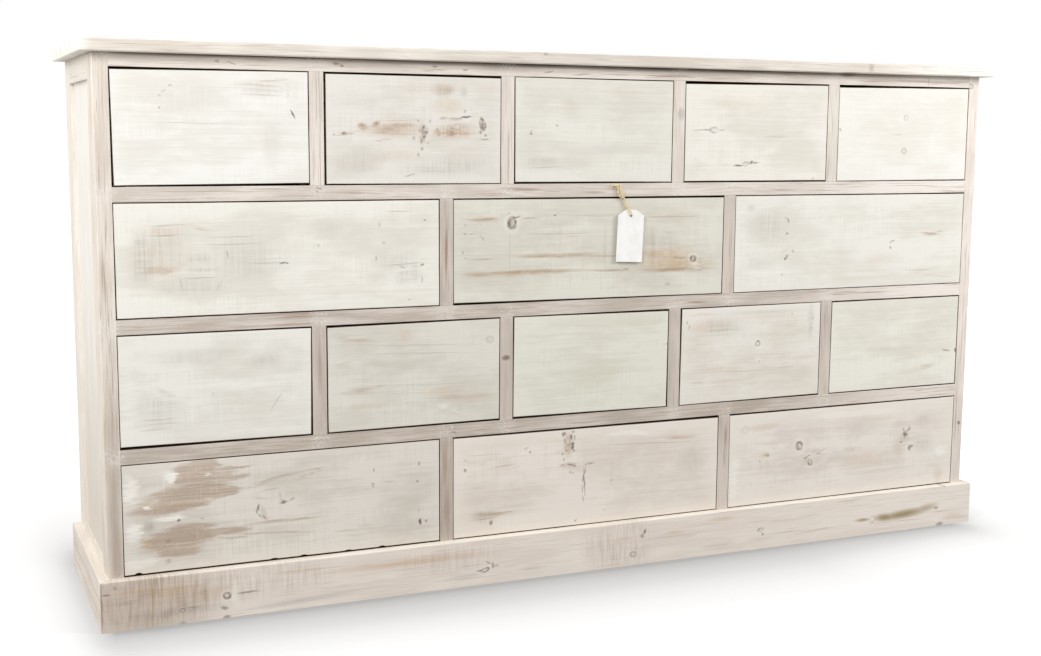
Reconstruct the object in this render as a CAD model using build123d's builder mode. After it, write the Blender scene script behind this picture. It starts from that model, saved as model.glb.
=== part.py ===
from build123d import *
import os
from math import cos, radians, sin, tan

# A long low chest of sixteen plain drawers in solid pine. Two frame-and-panel sides are tied together by
# tenoned front and back rails, dividers split the rows into bays, and each dovetailed drawer slides on
# wooden runners. A planked top oversails the carcass and a mitred plinth wraps its foot.
# Millimetres. The origin is on the floor below the middle of the chest, +Z is up and the front faces -Y.

# Overall size, over the top board
WIDTH = 1600.0
DEPTH = 350.0
HEIGHT = 850.0

# Top
TOP_THICK = 18.0
TOP_SIDE_OVERHANG = 18.0
TOP_FRONT_OVERHANG = 16.0
TOP_PLANKS = 3
TOP_EASE = 2.0

# Side frames: two posts, two rails and a panel that floats in their grooves
POST_THICK = 22.0
POST_WIDTH = 56.0
POST_EASE = 1.5
SIDE_TOP_RAIL = 36.0
SIDE_BOTTOM_RAIL = 44.0
SIDE_RAIL_SHOWS = 8.0
SIDE_TENON_LENGTH = 16.0
SIDE_TENON_THICK = 8.0
SIDE_TENON_SHOULDER = 9.0
PANEL_THICK = 9.0
PANEL_RECESS = 6.0
PANEL_GROOVE = 8.0
PANEL_FLOAT = 1.0

# Front and back rails, dividers and their stub tenons
TOP_RAIL_HEIGHT = 20.0
RAIL_HEIGHT = 22.0
RAIL_DEPTH = 45.0
BACK_RAIL_DEPTH = 30.0
DIVIDER_WIDTH = 22.0
TENON_LENGTH = 12.0
TENON_WIDTH = 22.0
TENON_THICK = 10.0
TENON_SHOULDER = 7.0
BACK_TENON_WIDTH = 14.0
STUB_LENGTH = 8.0

# Runners below each row, with a guide on each runner that two drawers share
RUNNER_BEARING = 25.0
RUNNER_SHOULDER = 5.0
GUIDE_HEIGHT = 16.0

# Back boards, tongued and grooved
BACK_BOARD_THICK = 9.0
BACK_BOARDS = 12
BACK_REBATE = 11.0
BACK_BOARD_LIFT = 40.0
TONGUE_LENGTH = 5.0
TONGUE_THICK = 3.0
BOARD_EASE = 1.5

# Plinth
PLINTH_HEIGHT = 76.0
PLINTH_THICK = 14.0
PLINTH_EASE = 2.0

# Drawers, counted in rows from the top
ROWS = (5, 3, 5, 3)
FRONT_THICK = 18.0
FRONT_EASE = 1.5
SIDE_THICK = 10.0
SIDE_TOP_CLEARANCE = 10.0
RUN_CLEARANCE = 0.3
REAR_CLEARANCE = 6.0
TAILS = 4
TAIL_LENGTH = 12.0
TAIL_ANGLE = 82.0
PIN_TIP = 10.0
BOTTOM_THICK = 6.0
BOTTOM_GROOVE = 4.0
BOTTOM_RAISE = 8.0
BACK_THICK = 10.0
BACK_HOUSING = 4.0
BACK_SETBACK = 10.0
BACK_DROP = 6.0

# The gaps that each hand-planed front leaves in its bay, a little out of square: at the left and the right
# from the top down, at the top and the bottom from the left
FRONT_GAPS = (
    (
        ((1.2, 3.0), (1.0, 0.7), (3.2, 0.9), (1.4, 3.5)),
        ((3.1, 2.9), (0.6, 0.6), (2.5, 3.0), (1.7, 0.7)),
        ((1.5, 2.0), (0.6, 0.8), (0.6, 1.2), (2.8, 1.3)),
        ((1.2, 1.2), (0.6, 0.6), (4.4, 1.8), (2.1, 2.0)),
        ((0.6, 0.8), (1.3, 0.7), (4.3, 1.5), (0.6, 1.5)),
    ),
    (
        ((0.8, 1.4), (1.2, 0.6), (1.2, 1.4), (1.5, 1.1)),
        ((0.6, 0.7), (0.6, 0.9), (1.5, 3.0), (3.1, 0.6)),
        ((0.6, 0.8), (0.6, 0.6), (1.0, 1.6), (0.6, 0.7)),
    ),
    (
        ((0.8, 0.6), (0.8, 2.7), (1.4, 2.0), (3.9, 1.8)),
        ((1.5, 1.7), (0.6, 0.9), (3.3, 1.5), (1.7, 2.4)),
        ((2.1, 1.0), (0.8, 1.9), (1.0, 2.9), (3.1, 0.9)),
        ((3.2, 1.5), (0.6, 0.6), (1.5, 0.6), (0.7, 2.0)),
        ((1.3, 0.8), (1.4, 1.6), (1.8, 1.8), (1.1, 1.5)),
    ),
    (
        ((0.6, 0.7), (1.1, 0.6), (0.9, 1.4), (1.9, 1.6)),
        ((0.6, 0.6), (0.7, 0.6), (2.0, 3.6), (1.0, 0.6)),
        ((0.6, 0.6), (0.6, 0.6), (2.4, 1.4), (0.6, 0.9)),
    ),
)

# Card tag on a doubled string, knotted at the front of the rail below the first row
TAG_X = 42.0
TAG_WIDTH = 48.0
TAG_HEIGHT = 86.0
TAG_THICK = 0.8
TAG_CLIPPED = 11.0
TAG_HOLE_RADIUS = 2.5
TAG_HOLE_FROM_TOP = 10.0
TAG_TILT = 2.3
TAG_STAND_OFF = 4.5
STRING_RADIUS = 1.0
STRING_SIDES = 6
STRING_SEAT = 0.3
KNOT_RADIUS = 2.2
KNOT_LENGTH = 9.0
KNOT_TAPER = 1.2
KNOT_STAND_OFF = 2.6
KNOT_DROP = 3.5
# The string from the knot, through the hole in the tag and back, measured from the middle of the knot
STRING_ROUTE = (
    (1.4, 0.0, -2.6),
    (8.5, -1.4, -19.0),
    (16.5, -3.4, -35.5),
    (21.0, -4.6, -44.0),
    (23.0, -4.4, -48.4),
    (23.0, 0.6, -48.4),
    (20.6, 0.9, -43.5),
    (14.5, 0.6, -33.0),
    (5.0, 0.4, -17.5),
    (-1.4, 0.0, -2.6),
)
STRING_IN_HOLE = 4
ARC_SHARE = 0.45

# Places that follow from the sizes above
X_SIDE = WIDTH / 2 - TOP_SIDE_OVERHANG
X_CLEAR = X_SIDE - POST_THICK
X_PANEL = X_SIDE - PANEL_RECESS - PANEL_THICK / 2
Y_FRONT = -DEPTH / 2 + TOP_FRONT_OVERHANG
Y_BACK = DEPTH / 2
Y_RAIL = Y_FRONT + RAIL_DEPTH
Y_BOARDS = Y_BACK - BACK_BOARD_THICK
Y_BACK_RAIL = Y_BOARDS - BACK_RAIL_DEPTH
Y_TENON = Y_FRONT + TENON_SHOULDER + TENON_WIDTH / 2
Y_BACK_TENON = Y_BOARDS - BACK_RAIL_DEPTH / 2
Y_PANEL_FRONT = Y_FRONT + POST_WIDTH
Y_PANEL_BACK = Y_BACK - POST_WIDTH
Z_TOP = HEIGHT - TOP_THICK
Z_PANEL_TOP = Z_TOP - SIDE_TOP_RAIL
Z_PANEL_BOTTOM = PLINTH_HEIGHT + SIDE_RAIL_SHOWS
Z_BAYS_TOP = Z_TOP - TOP_RAIL_HEIGHT
ROW_HEIGHT = (Z_BAYS_TOP - PLINTH_HEIGHT - (len(ROWS) - 1) * RAIL_HEIGHT) / len(ROWS)
LEVELS = range(len(ROWS) + 1)
SIDE_HEIGHT = ROW_HEIGHT - SIDE_TOP_CLEARANCE - RUN_CLEARANCE
Y_DRAWER_REAR = Y_BOARDS - REAR_CLEARANCE


def row_floor(row):
    """Height of the rails and runners that a row of drawers slides on."""
    return Z_BAYS_TOP - row * ROW_HEIGHT - (row - 1) * RAIL_HEIGHT


def rail_span(level):
    """Bottom and top of the rails at a level: 0 is under the top board, the others are under each row."""
    if level == 0:
        return Z_BAYS_TOP, Z_TOP
    return row_floor(level) - RAIL_HEIGHT, row_floor(level)


def rail_middle(level):
    return sum(rail_span(level)) / 2


def bay_width(row):
    count = ROWS[row - 1]
    return (2 * X_CLEAR - (count - 1) * DIVIDER_WIDTH) / count


def divider_places(row):
    """Middle of each divider in a row, from left to right."""
    pitch = bay_width(row) + DIVIDER_WIDTH
    return [-X_CLEAR - DIVIDER_WIDTH / 2 + i * pitch for i in range(1, ROWS[row - 1])]


def runner_rows(level):
    """Middle and width of each runner at a level. The kickers at level 0 stand over the first row's."""
    row = max(level, 1)
    end = X_CLEAR - RUNNER_BEARING / 2
    ends = [(side * end, RUNNER_BEARING) for side in (-1, 1)]
    shared = [(x, DIVIDER_WIDTH + 2 * RUNNER_BEARING) for x in divider_places(row)]
    return ends, shared


def save(node, name):
    node.label = name
    export_step(node, os.path.join("parts", name + ".step"))


def save_group(pieces, name):
    """Pieces that stay separate solids in one node."""
    save(Compound(children=list(pieces)), name)


def top_plank(number):
    """One plank of the glued-up top, with its outer edges eased."""
    width = DEPTH / TOP_PLANKS
    with BuildPart() as plank:
        with BuildSketch(Plane.YZ):
            with Locations((-DEPTH / 2 + (number + 0.5) * width, Z_TOP + TOP_THICK / 2)):
                Rectangle(width, TOP_THICK)
        extrude(amount=WIDTH / 2, both=True)
        eased = plank.faces().filter_by(Axis.X).edges().filter_by(Axis.Y)
        if number == 0:
            eased += plank.faces().sort_by(Axis.Y)[0].edges().filter_by(Axis.X)
        if number == TOP_PLANKS - 1:
            eased += plank.faces().sort_by(Axis.Y)[-1].edges().filter_by(Axis.X)
        fillet(eased, TOP_EASE)
    return plank.part


def left_post(y_outer, inward, y_tenon, tenon_width):
    """A left-hand post, grooved for the panel and mortised for its rails. inward points to the panel."""
    y_inner = y_outer + inward * POST_WIDTH
    with BuildPart() as post:
        with BuildSketch():
            with Locations((-X_SIDE + POST_THICK / 2, y_outer + inward * POST_WIDTH / 2)):
                Rectangle(POST_THICK, POST_WIDTH)
            with Locations((-X_PANEL, y_inner - inward * PANEL_GROOVE / 2)):
                Rectangle(PANEL_THICK, PANEL_GROOVE, mode=Mode.SUBTRACT)
        extrude(amount=Z_TOP)
        outer = post.edges().filter_by(Axis.Z).group_by(Axis.X)[0]
        fillet(outer.sort_by(Axis.Y)[0 if inward > 0 else -1], POST_EASE)
        with Locations(*[(-X_CLEAR - TENON_LENGTH / 2, y_tenon, rail_middle(level)) for level in LEVELS]):
            Box(TENON_LENGTH, tenon_width, TENON_THICK, mode=Mode.SUBTRACT)
        for low, high in ((Z_PANEL_TOP, Z_TOP), (Z_PANEL_BOTTOM - SIDE_BOTTOM_RAIL, Z_PANEL_BOTTOM)):
            with Locations((
                -X_SIDE + POST_THICK / 2,
                y_inner - inward * SIDE_TENON_LENGTH / 2,
                (low + high) / 2,
            )):
                Box(
                    SIDE_TENON_THICK,
                    SIDE_TENON_LENGTH,
                    high - low - 2 * SIDE_TENON_SHOULDER,
                    mode=Mode.SUBTRACT,
                )
        if inward < 0:
            with Locations((-X_CLEAR - BACK_REBATE / 2, Y_BACK - BACK_BOARD_THICK / 2, Z_TOP / 2)):
                Box(BACK_REBATE, BACK_BOARD_THICK, Z_TOP, mode=Mode.SUBTRACT)
    return post.part


def right_hand(left):
    """The same piece for the other end of the chest."""
    with BuildPart() as right:
        mirror(left, about=Plane.YZ)
    return right.part


def side_rails():
    """Top and bottom rails of both side frames, grooved along the edge that takes the panel."""
    middle = Plane.XZ.offset(-(Y_PANEL_FRONT + Y_PANEL_BACK) / 2)
    half = (Y_PANEL_BACK - Y_PANEL_FRONT) / 2
    spans = (
        (Z_PANEL_TOP, Z_TOP, Z_PANEL_TOP + PANEL_GROOVE / 2),
        (Z_PANEL_BOTTOM - SIDE_BOTTOM_RAIL, Z_PANEL_BOTTOM, Z_PANEL_BOTTOM - PANEL_GROOVE / 2),
    )
    with BuildPart() as rails:
        for low, high, groove in spans:
            centre = (-X_SIDE + POST_THICK / 2, (low + high) / 2)
            with BuildSketch(middle):
                with Locations(centre):
                    Rectangle(POST_THICK, high - low)
                with Locations((-X_PANEL, groove)):
                    Rectangle(PANEL_THICK, PANEL_GROOVE, mode=Mode.SUBTRACT)
            extrude(amount=half, both=True)
            with BuildSketch(middle):
                with Locations(centre):
                    Rectangle(SIDE_TENON_THICK, high - low - 2 * SIDE_TENON_SHOULDER)
                with Locations((-X_PANEL, groove)):
                    Rectangle(PANEL_THICK, PANEL_GROOVE, mode=Mode.SUBTRACT)
            extrude(amount=half + SIDE_TENON_LENGTH, both=True)
        mirror(about=Plane.YZ)
    return rails.part


def left_panel():
    """The floating panel of the left side frame."""
    reach = PANEL_GROOVE - PANEL_FLOAT
    with BuildPart() as panel:
        with BuildSketch(Plane.YZ.offset(-X_PANEL)):
            with Locations(((Y_PANEL_FRONT + Y_PANEL_BACK) / 2, (Z_PANEL_TOP + Z_PANEL_BOTTOM) / 2)):
                Rectangle(
                    Y_PANEL_BACK - Y_PANEL_FRONT + 2 * reach,
                    Z_PANEL_TOP - Z_PANEL_BOTTOM + 2 * reach,
                )
        extrude(amount=PANEL_THICK / 2, both=True)
    return panel.part


def front_rail(level):
    """A rail across the front, tenoned into the posts and mortised for its dividers and runners."""
    low, high = rail_span(level)
    middle = rail_middle(level)
    above = divider_places(level) if level > 0 else []
    below = divider_places(level + 1) if level < len(ROWS) else []
    ends, shared = runner_rows(level)
    with BuildPart() as rail:
        with BuildSketch(Plane.YZ):
            with Locations((Y_FRONT + RAIL_DEPTH / 2, middle)):
                Rectangle(RAIL_DEPTH, high - low)
        extrude(amount=X_CLEAR, both=True)
        with BuildSketch(Plane.YZ):
            with Locations((Y_TENON, middle)):
                Rectangle(TENON_WIDTH, TENON_THICK)
        extrude(amount=X_CLEAR + TENON_LENGTH, both=True)
        stubs = [(x, Y_TENON, high - STUB_LENGTH / 2) for x in above]
        stubs += [(x, Y_TENON, low + STUB_LENGTH / 2) for x in below]
        with Locations(*stubs):
            Box(TENON_THICK, TENON_WIDTH, STUB_LENGTH, mode=Mode.SUBTRACT)
        for x, width in ends + shared:
            with Locations((x, Y_RAIL - STUB_LENGTH / 2, middle)):
                Box(width - 2 * RUNNER_SHOULDER, STUB_LENGTH, TENON_THICK, mode=Mode.SUBTRACT)
    return rail.part


def back_rails():
    """The rails across the back, level with those in front, which carry the runners and the back boards."""
    with BuildPart() as rails:
        for level in LEVELS:
            low, high = rail_span(level)
            centre = (Y_BACK_TENON, rail_middle(level))
            ends, shared = runner_rows(level)
            with BuildSketch(Plane.YZ):
                with Locations(centre):
                    Rectangle(BACK_RAIL_DEPTH, high - low)
            extrude(amount=X_CLEAR, both=True)
            with BuildSketch(Plane.YZ):
                with Locations(centre):
                    Rectangle(BACK_TENON_WIDTH, TENON_THICK)
            extrude(amount=X_CLEAR + TENON_LENGTH, both=True)
            for x, width in ends + shared:
                with Locations((x, Y_BACK_RAIL + STUB_LENGTH / 2, rail_middle(level))):
                    Box(width - 2 * RUNNER_SHOULDER, STUB_LENGTH, TENON_THICK, mode=Mode.SUBTRACT)
    return rails.part


def dividers(row):
    """The uprights between the bays of a row, with a stub tenon at each end."""
    low = row_floor(row)
    middle = low + ROW_HEIGHT / 2
    places = [(x, Y_TENON) for x in divider_places(row)]
    with BuildPart() as uprights:
        with BuildSketch(Plane.XY.offset(middle)):
            with Locations(*[(x, Y_FRONT + RAIL_DEPTH / 2) for x in divider_places(row)]):
                Rectangle(DIVIDER_WIDTH, RAIL_DEPTH)
        extrude(amount=ROW_HEIGHT / 2, both=True)
        with BuildSketch(Plane.XY.offset(middle)):
            with Locations(*places):
                Rectangle(TENON_THICK, TENON_WIDTH)
        extrude(amount=ROW_HEIGHT / 2 + STUB_LENGTH, both=True)
    return uprights.part


def runners(shared):
    """Runners of every level, tenoned between front and back rails. shared picks those at the dividers."""
    middle = Plane.XZ.offset(-(Y_RAIL + Y_BACK_RAIL) / 2)
    half = (Y_BACK_RAIL - Y_RAIL) / 2
    with BuildPart() as bars:
        for level in LEVELS:
            low, high = rail_span(level)
            for x, width in runner_rows(level)[1 if shared else 0]:
                with BuildSketch(middle):
                    with Locations((x, rail_middle(level))):
                        Rectangle(width, high - low)
                extrude(amount=half, both=True)
                with BuildSketch(middle):
                    with Locations((x, rail_middle(level))):
                        Rectangle(width - 2 * RUNNER_SHOULDER, TENON_THICK)
                extrude(amount=half + STUB_LENGTH, both=True)
    return bars.part


def drawer_guides():
    """Strips on the shared runners, in line with the dividers, that keep the drawers straight."""
    with BuildPart() as guides:
        for row in range(1, len(ROWS) + 1):
            with BuildSketch(Plane.XY.offset(row_floor(row))):
                with Locations(*[(x, (Y_RAIL + Y_BOARDS) / 2) for x in divider_places(row)]):
                    Rectangle(DIVIDER_WIDTH, Y_BOARDS - Y_RAIL)
            extrude(amount=GUIDE_HEIGHT)
    return guides.part


def back_board(number):
    """One board of the back: a tongue on one edge, a groove on the other and a V where two boards meet."""
    reach = X_CLEAR + BACK_REBATE
    pitch = 2 * reach / BACK_BOARDS
    left = -reach + number * pitch
    y_middle = Y_BOARDS + BACK_BOARD_THICK / 2
    with BuildPart() as board:
        with BuildSketch(Plane.XY.offset(BACK_BOARD_LIFT)):
            with Locations((left + pitch / 2, y_middle)):
                face = Rectangle(pitch, BACK_BOARD_THICK)
            chamfer(face.vertices().group_by(Axis.Y)[-1], BOARD_EASE)
            if number < BACK_BOARDS - 1:
                with Locations((left + pitch + TONGUE_LENGTH / 2, y_middle)):
                    Rectangle(TONGUE_LENGTH, TONGUE_THICK)
            if number > 0:
                with Locations((left + TONGUE_LENGTH / 2, y_middle)):
                    Rectangle(TONGUE_LENGTH, TONGUE_THICK, mode=Mode.SUBTRACT)
        extrude(amount=Z_TOP - BACK_BOARD_LIFT)
    return board.part


def plinth_front():
    """The front board of the plinth, mitred at both ends."""
    with BuildPart() as board:
        with BuildSketch():
            with BuildLine():
                Polyline(
                    (-X_SIDE - PLINTH_THICK, Y_FRONT - PLINTH_THICK),
                    (X_SIDE + PLINTH_THICK, Y_FRONT - PLINTH_THICK),
                    (X_SIDE, Y_FRONT),
                    (-X_SIDE, Y_FRONT),
                    close=True,
                )
            make_face()
        extrude(amount=PLINTH_HEIGHT)
        fillet(board.faces().sort_by(Axis.Y)[0].edges().sort_by(Axis.Z)[-1], PLINTH_EASE)
    return board.part


def plinth_left():
    """The left return of the plinth, mitred to the front board."""
    with BuildPart() as board:
        with BuildSketch():
            with BuildLine():
                Polyline(
                    (-X_SIDE - PLINTH_THICK, Y_FRONT - PLINTH_THICK),
                    (-X_SIDE, Y_FRONT),
                    (-X_SIDE, Y_BACK),
                    (-X_SIDE - PLINTH_THICK, Y_BACK),
                    close=True,
                )
            make_face()
        extrude(amount=PLINTH_HEIGHT)
        fillet(board.faces().sort_by(Axis.X)[0].edges().sort_by(Axis.Z)[-1], PLINTH_EASE)
    return board.part


def tail_row(x, low):
    """The dovetails of one drawer side, drawn in the plane of that side. They widen towards the front."""
    pitch = SIDE_HEIGHT / TAILS
    y_base = Y_FRONT + FRONT_THICK
    with BuildSketch(Plane.YZ.offset(x)) as tails:
        with Locations((y_base - TAIL_LENGTH / 2, low + SIDE_HEIGHT / 2)):
            with GridLocations(0, pitch, 1, TAILS):
                Trapezoid(pitch - PIN_TIP, TAIL_LENGTH, TAIL_ANGLE, rotation=-90)
    return tails.sketch


def drawer(row, column):
    """Front and box of one drawer: half-blind dovetails, a housed back and a bottom in grooves."""
    left_gap, right_gap, top_gap, bottom_gap = FRONT_GAPS[row - 1][column - 1]
    floor = row_floor(row)
    ceiling = floor + ROW_HEIGHT
    bay_left = -X_CLEAR + (column - 1) * (bay_width(row) + DIVIDER_WIDTH)
    bay_right = bay_left + bay_width(row)
    left = bay_left + max(left_gap)
    right = bay_right - max(right_gap)
    left_inner = left + SIDE_THICK
    right_inner = right - SIDE_THICK
    middle = (left + right) / 2
    low = floor + RUN_CLEARANCE
    high = low + SIDE_HEIGHT
    y_inside = Y_FRONT + FRONT_THICK
    y_back = Y_DRAWER_REAR - BACK_SETBACK
    bottom_low = low + BOTTOM_RAISE
    bottom_middle = bottom_low + BOTTOM_THICK / 2
    bottom_top = bottom_low + BOTTOM_THICK
    inner_width = right_inner - left_inner

    with BuildPart() as front:
        with BuildSketch(Plane.XZ.offset(-Y_FRONT)):
            with BuildLine():
                Polyline(
                    (bay_left + left_gap[1], floor + bottom_gap[0]),
                    (bay_right - right_gap[1], floor + bottom_gap[1]),
                    (bay_right - right_gap[0], ceiling - top_gap[1]),
                    (bay_left + left_gap[0], ceiling - top_gap[0]),
                    close=True,
                )
            make_face()
        extrude(amount=-FRONT_THICK)
        fillet(front.faces().sort_by(Axis.Y)[0].edges(), FRONT_EASE)
        extrude(tail_row(left_inner, low), amount=bay_left - left_inner, mode=Mode.SUBTRACT)
        extrude(tail_row(right_inner, low), amount=bay_right - right_inner, mode=Mode.SUBTRACT)
        with Locations((middle, y_inside - BOTTOM_GROOVE / 2, bottom_middle)):
            Box(inner_width, BOTTOM_GROOVE, BOTTOM_THICK, mode=Mode.SUBTRACT)

    with BuildPart() as left_side:
        with BuildSketch(Plane.YZ.offset(left)):
            with Locations(((y_inside + Y_DRAWER_REAR) / 2, (low + high) / 2)):
                Rectangle(Y_DRAWER_REAR - y_inside, SIDE_HEIGHT)
        extrude(amount=SIDE_THICK)
        extrude(tail_row(left, low), amount=SIDE_THICK)
        with Locations((left_inner - BOTTOM_GROOVE / 2, (Y_FRONT + Y_DRAWER_REAR) / 2, bottom_middle)):
            Box(BOTTOM_GROOVE, Y_DRAWER_REAR - Y_FRONT, BOTTOM_THICK, mode=Mode.SUBTRACT)
        with Locations((left_inner - BACK_HOUSING / 2, y_back - BACK_THICK / 2, (bottom_top + high) / 2)):
            Box(BACK_HOUSING, BACK_THICK, high - bottom_top, mode=Mode.SUBTRACT)

    with BuildPart() as right_side:
        mirror(left_side.part, about=Plane.YZ.offset(middle))

    with BuildPart() as back:
        with BuildSketch(Plane.XZ.offset(-y_back)):
            with Locations((middle, (bottom_top + high - BACK_DROP) / 2)):
                Rectangle(inner_width + 2 * BACK_HOUSING, high - BACK_DROP - bottom_top)
        extrude(amount=BACK_THICK)

    with BuildPart() as bottom:
        with BuildSketch(Plane.XY.offset(bottom_low)):
            with Locations((middle, (y_inside - BOTTOM_GROOVE + y_back) / 2)):
                Rectangle(inner_width + 2 * BOTTOM_GROOVE, y_back - y_inside + BOTTOM_GROOVE)
        extrude(amount=BOTTOM_THICK)

    return front.part, (left_side.part, right_side.part, back.part, bottom.part)


def knot_centre():
    return Vector(TAG_X, Y_FRONT - KNOT_STAND_OFF, row_floor(1) - KNOT_DROP)


def corner_radii(route):
    """The largest arc that each corner of a route leaves room for."""
    radii = []
    for before, corner, after in zip(route, route[1:], route[2:]):
        turn = (corner - before).get_angle(after - corner)
        shorter = min((corner - before).length, (after - corner).length)
        radii.append(ARC_SHARE * shorter / tan(radians(turn) / 2))
    return radii


def tag_string():
    """The doubled string: one unbroken tube from the knot through the tag's hole and back to the knot."""
    route = [knot_centre() + Vector(*point) for point in STRING_ROUTE]
    radii = corner_radii(route)
    with BuildPart() as string:
        with BuildLine() as path:
            FilletPolyline(*route, radius=radii)
        with BuildSketch(Plane(origin=route[0], z_dir=route[1] - route[0])) as section:
            RegularPolygon(STRING_RADIUS, STRING_SIDES)
        sweep(path=path.wires()[0])
    straightened = section.sketch.area * path.wires()[0].length
    print("string radii", [round(radius, 1) for radius in radii])
    print("string volume over section times length", round(string.part.volume / straightened, 3))
    return string.part


def string_knot():
    """The barrel of the knot, lying along the rail. The tag swings about its axis."""
    centre = knot_centre()
    with BuildPart() as knot:
        with BuildSketch(Plane(origin=centre, x_dir=(0, 1, 0), z_dir=(1, 0, 0))):
            Circle(KNOT_RADIUS)
        extrude(amount=KNOT_LENGTH / 2, both=True)
        chamfer(knot.edges().filter_by(GeomType.CIRCLE), KNOT_TAPER)
    return knot.part


def swing_tag():
    """The card, with clipped top corners, hanging by its hole on the bend of the string."""
    bend = knot_centre() + Vector(*STRING_ROUTE[STRING_IN_HOLE])
    drop = TAG_HOLE_RADIUS - STRING_RADIUS - STRING_SEAT
    hole = Vector(bend.X, Y_FRONT - TAG_STAND_OFF, bend.Z - drop)
    tilt = radians(TAG_TILT)
    face = Plane(origin=hole, x_dir=(cos(tilt), 0, -sin(tilt)), z_dir=(0, -1, 0))
    with BuildPart() as tag:
        with BuildSketch(face):
            with Locations((0, TAG_HOLE_FROM_TOP - TAG_HEIGHT / 2)):
                card = Rectangle(TAG_WIDTH, TAG_HEIGHT)
            chamfer(card.vertices().group_by(Axis.Y)[-1], TAG_CLIPPED)
            Circle(TAG_HOLE_RADIUS, mode=Mode.SUBTRACT)
        extrude(amount=TAG_THICK / 2, both=True)
    return tag.part


os.makedirs("parts", exist_ok=True)

save_group((top_plank(number) for number in range(TOP_PLANKS)), "top_board")

front_left_post = left_post(Y_FRONT, 1, Y_TENON, TENON_WIDTH)
rear_left_post = left_post(Y_BACK, -1, Y_BACK_TENON, BACK_TENON_WIDTH)
save(front_left_post, "front_left_post")
save(right_hand(front_left_post), "front_right_post")
save(rear_left_post, "rear_left_post")
save(right_hand(rear_left_post), "rear_right_post")
save(side_rails(), "side_rails")
side_panel = left_panel()
save(side_panel, "left_side_panel")
save(right_hand(side_panel), "right_side_panel")

RAIL_NAMES = (
    "front_top_rail",
    "front_upper_rail",
    "front_middle_rail",
    "front_lower_rail",
    "front_bottom_rail",
)
for level in LEVELS:
    save(front_rail(level), RAIL_NAMES[level])
for row in range(1, len(ROWS) + 1):
    save(dividers(row), f"dividers_row_{row}")
save(back_rails(), "back_rails")
save(runners(shared=False), "end_runners")
save(runners(shared=True), "centre_runners")
save(drawer_guides(), "drawer_guides")
save_group((back_board(number) for number in range(BACK_BOARDS)), "back_boards")

save(plinth_front(), "plinth_front")
plinth_return = plinth_left()
save(plinth_return, "plinth_left")
save(right_hand(plinth_return), "plinth_right")

for row, count in enumerate(ROWS, start=1):
    for column in range(1, count + 1):
        drawer_front, drawer_box = drawer(row, column)
        save(drawer_front, f"drawer_front_{row}_{column}")
        save_group(drawer_box, f"drawer_box_{row}_{column}")

save(string_knot(), "string_knot")
save(tag_string(), "tag_string")
save(swing_tag(), "swing_tag")
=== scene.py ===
import math

import bmesh
import bpy
from mathutils import Matrix, Vector, noise


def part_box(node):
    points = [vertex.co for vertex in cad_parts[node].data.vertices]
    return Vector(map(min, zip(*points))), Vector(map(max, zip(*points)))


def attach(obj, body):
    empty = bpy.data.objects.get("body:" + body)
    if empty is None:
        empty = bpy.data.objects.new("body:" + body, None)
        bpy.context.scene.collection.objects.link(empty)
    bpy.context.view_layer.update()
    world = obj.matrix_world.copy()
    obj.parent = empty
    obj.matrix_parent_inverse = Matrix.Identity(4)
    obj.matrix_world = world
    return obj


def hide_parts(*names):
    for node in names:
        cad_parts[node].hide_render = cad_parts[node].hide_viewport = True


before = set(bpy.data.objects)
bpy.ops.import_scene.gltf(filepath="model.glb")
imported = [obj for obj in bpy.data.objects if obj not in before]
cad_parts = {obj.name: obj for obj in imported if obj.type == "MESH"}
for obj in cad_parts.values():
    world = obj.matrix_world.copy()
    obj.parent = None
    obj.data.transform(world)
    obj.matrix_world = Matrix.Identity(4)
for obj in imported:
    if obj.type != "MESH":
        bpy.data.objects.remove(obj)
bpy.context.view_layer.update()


# Camera: stands to the left of the chest, just below the height of its top, and looks slightly down.
# Its place and lens come from the corners of the sixteen drawer fronts, so it needs no shift.
CAMERA_PLACE = (-1.030993, -2.210599, 0.718791)
CAMERA_YAW, CAMERA_PITCH, CAMERA_ROLL = (math.radians(angle) for angle in (23.708, -7.7475, 0.40087))
CAMERA_LENS, CAMERA_SENSOR = 48.647, 36.0

sight = Vector((
    math.sin(CAMERA_YAW) * math.cos(CAMERA_PITCH),
    math.cos(CAMERA_YAW) * math.cos(CAMERA_PITCH),
    math.sin(CAMERA_PITCH),
))
level = Vector((math.cos(CAMERA_YAW), -math.sin(CAMERA_YAW), 0))
upright = level.cross(sight)
across = level * math.cos(CAMERA_ROLL) + upright * math.sin(CAMERA_ROLL)
above = upright * math.cos(CAMERA_ROLL) - level * math.sin(CAMERA_ROLL)
camera = bpy.data.objects.new("camera", bpy.data.cameras.new("camera"))
camera.data.sensor_fit = "HORIZONTAL"
camera.data.sensor_width = CAMERA_SENSOR
camera.data.lens = CAMERA_LENS
camera.matrix_world = Matrix.Translation(CAMERA_PLACE) @ Matrix((across, above, -sight)).transposed().to_4x4()
bpy.context.scene.collection.objects.link(camera)
bpy.context.scene.camera = camera


# Frame: posts, rails and dividers of 22 mm pine, tenoned and flush at the front, under a thinner wash than the drawers,
# so that it reads pinkish grey, with brown streaks along the grain and a whiter touch over each joint.
# A mark is x, z, half length, half height in mm, turn in degrees and strength from 0 to 1.
MM = 0.001
FRAME_PAINTED_LIGHT, FRAME_STREAK, FRAME_BROWN, SIDE_PAINTED_LIGHT = "EFE7DE", "AD9A8B", "967C64", "EEE6D8"
# The colours below are chalk, the dark of knots, the dark of cracks that also serves for the painted shadow under the
# top, and the dark of seams between boards that also serves for painted shade inside the gaps round the drawers.
CHALK, KNOT_RING, SPLIT_AND_SHADOW, SEAM_AND_GAP_SHADE = "F6F3EC", "73645C", "4E443D", "5A4734"
FRAME_ROUGH, FRAME_GLOSS, GRAIN_DEPTH = 0.8, 0.25, 0.4 * MM
# In mm: the Y of the washed face, and the depths behind it between which the faces inside the gaps turn dark,
# painted shade that keeps the gaps round the drawers dark.
FACE, GAP_SHADE_DEPTHS = -159.0, (0.3, 1.0)
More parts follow.
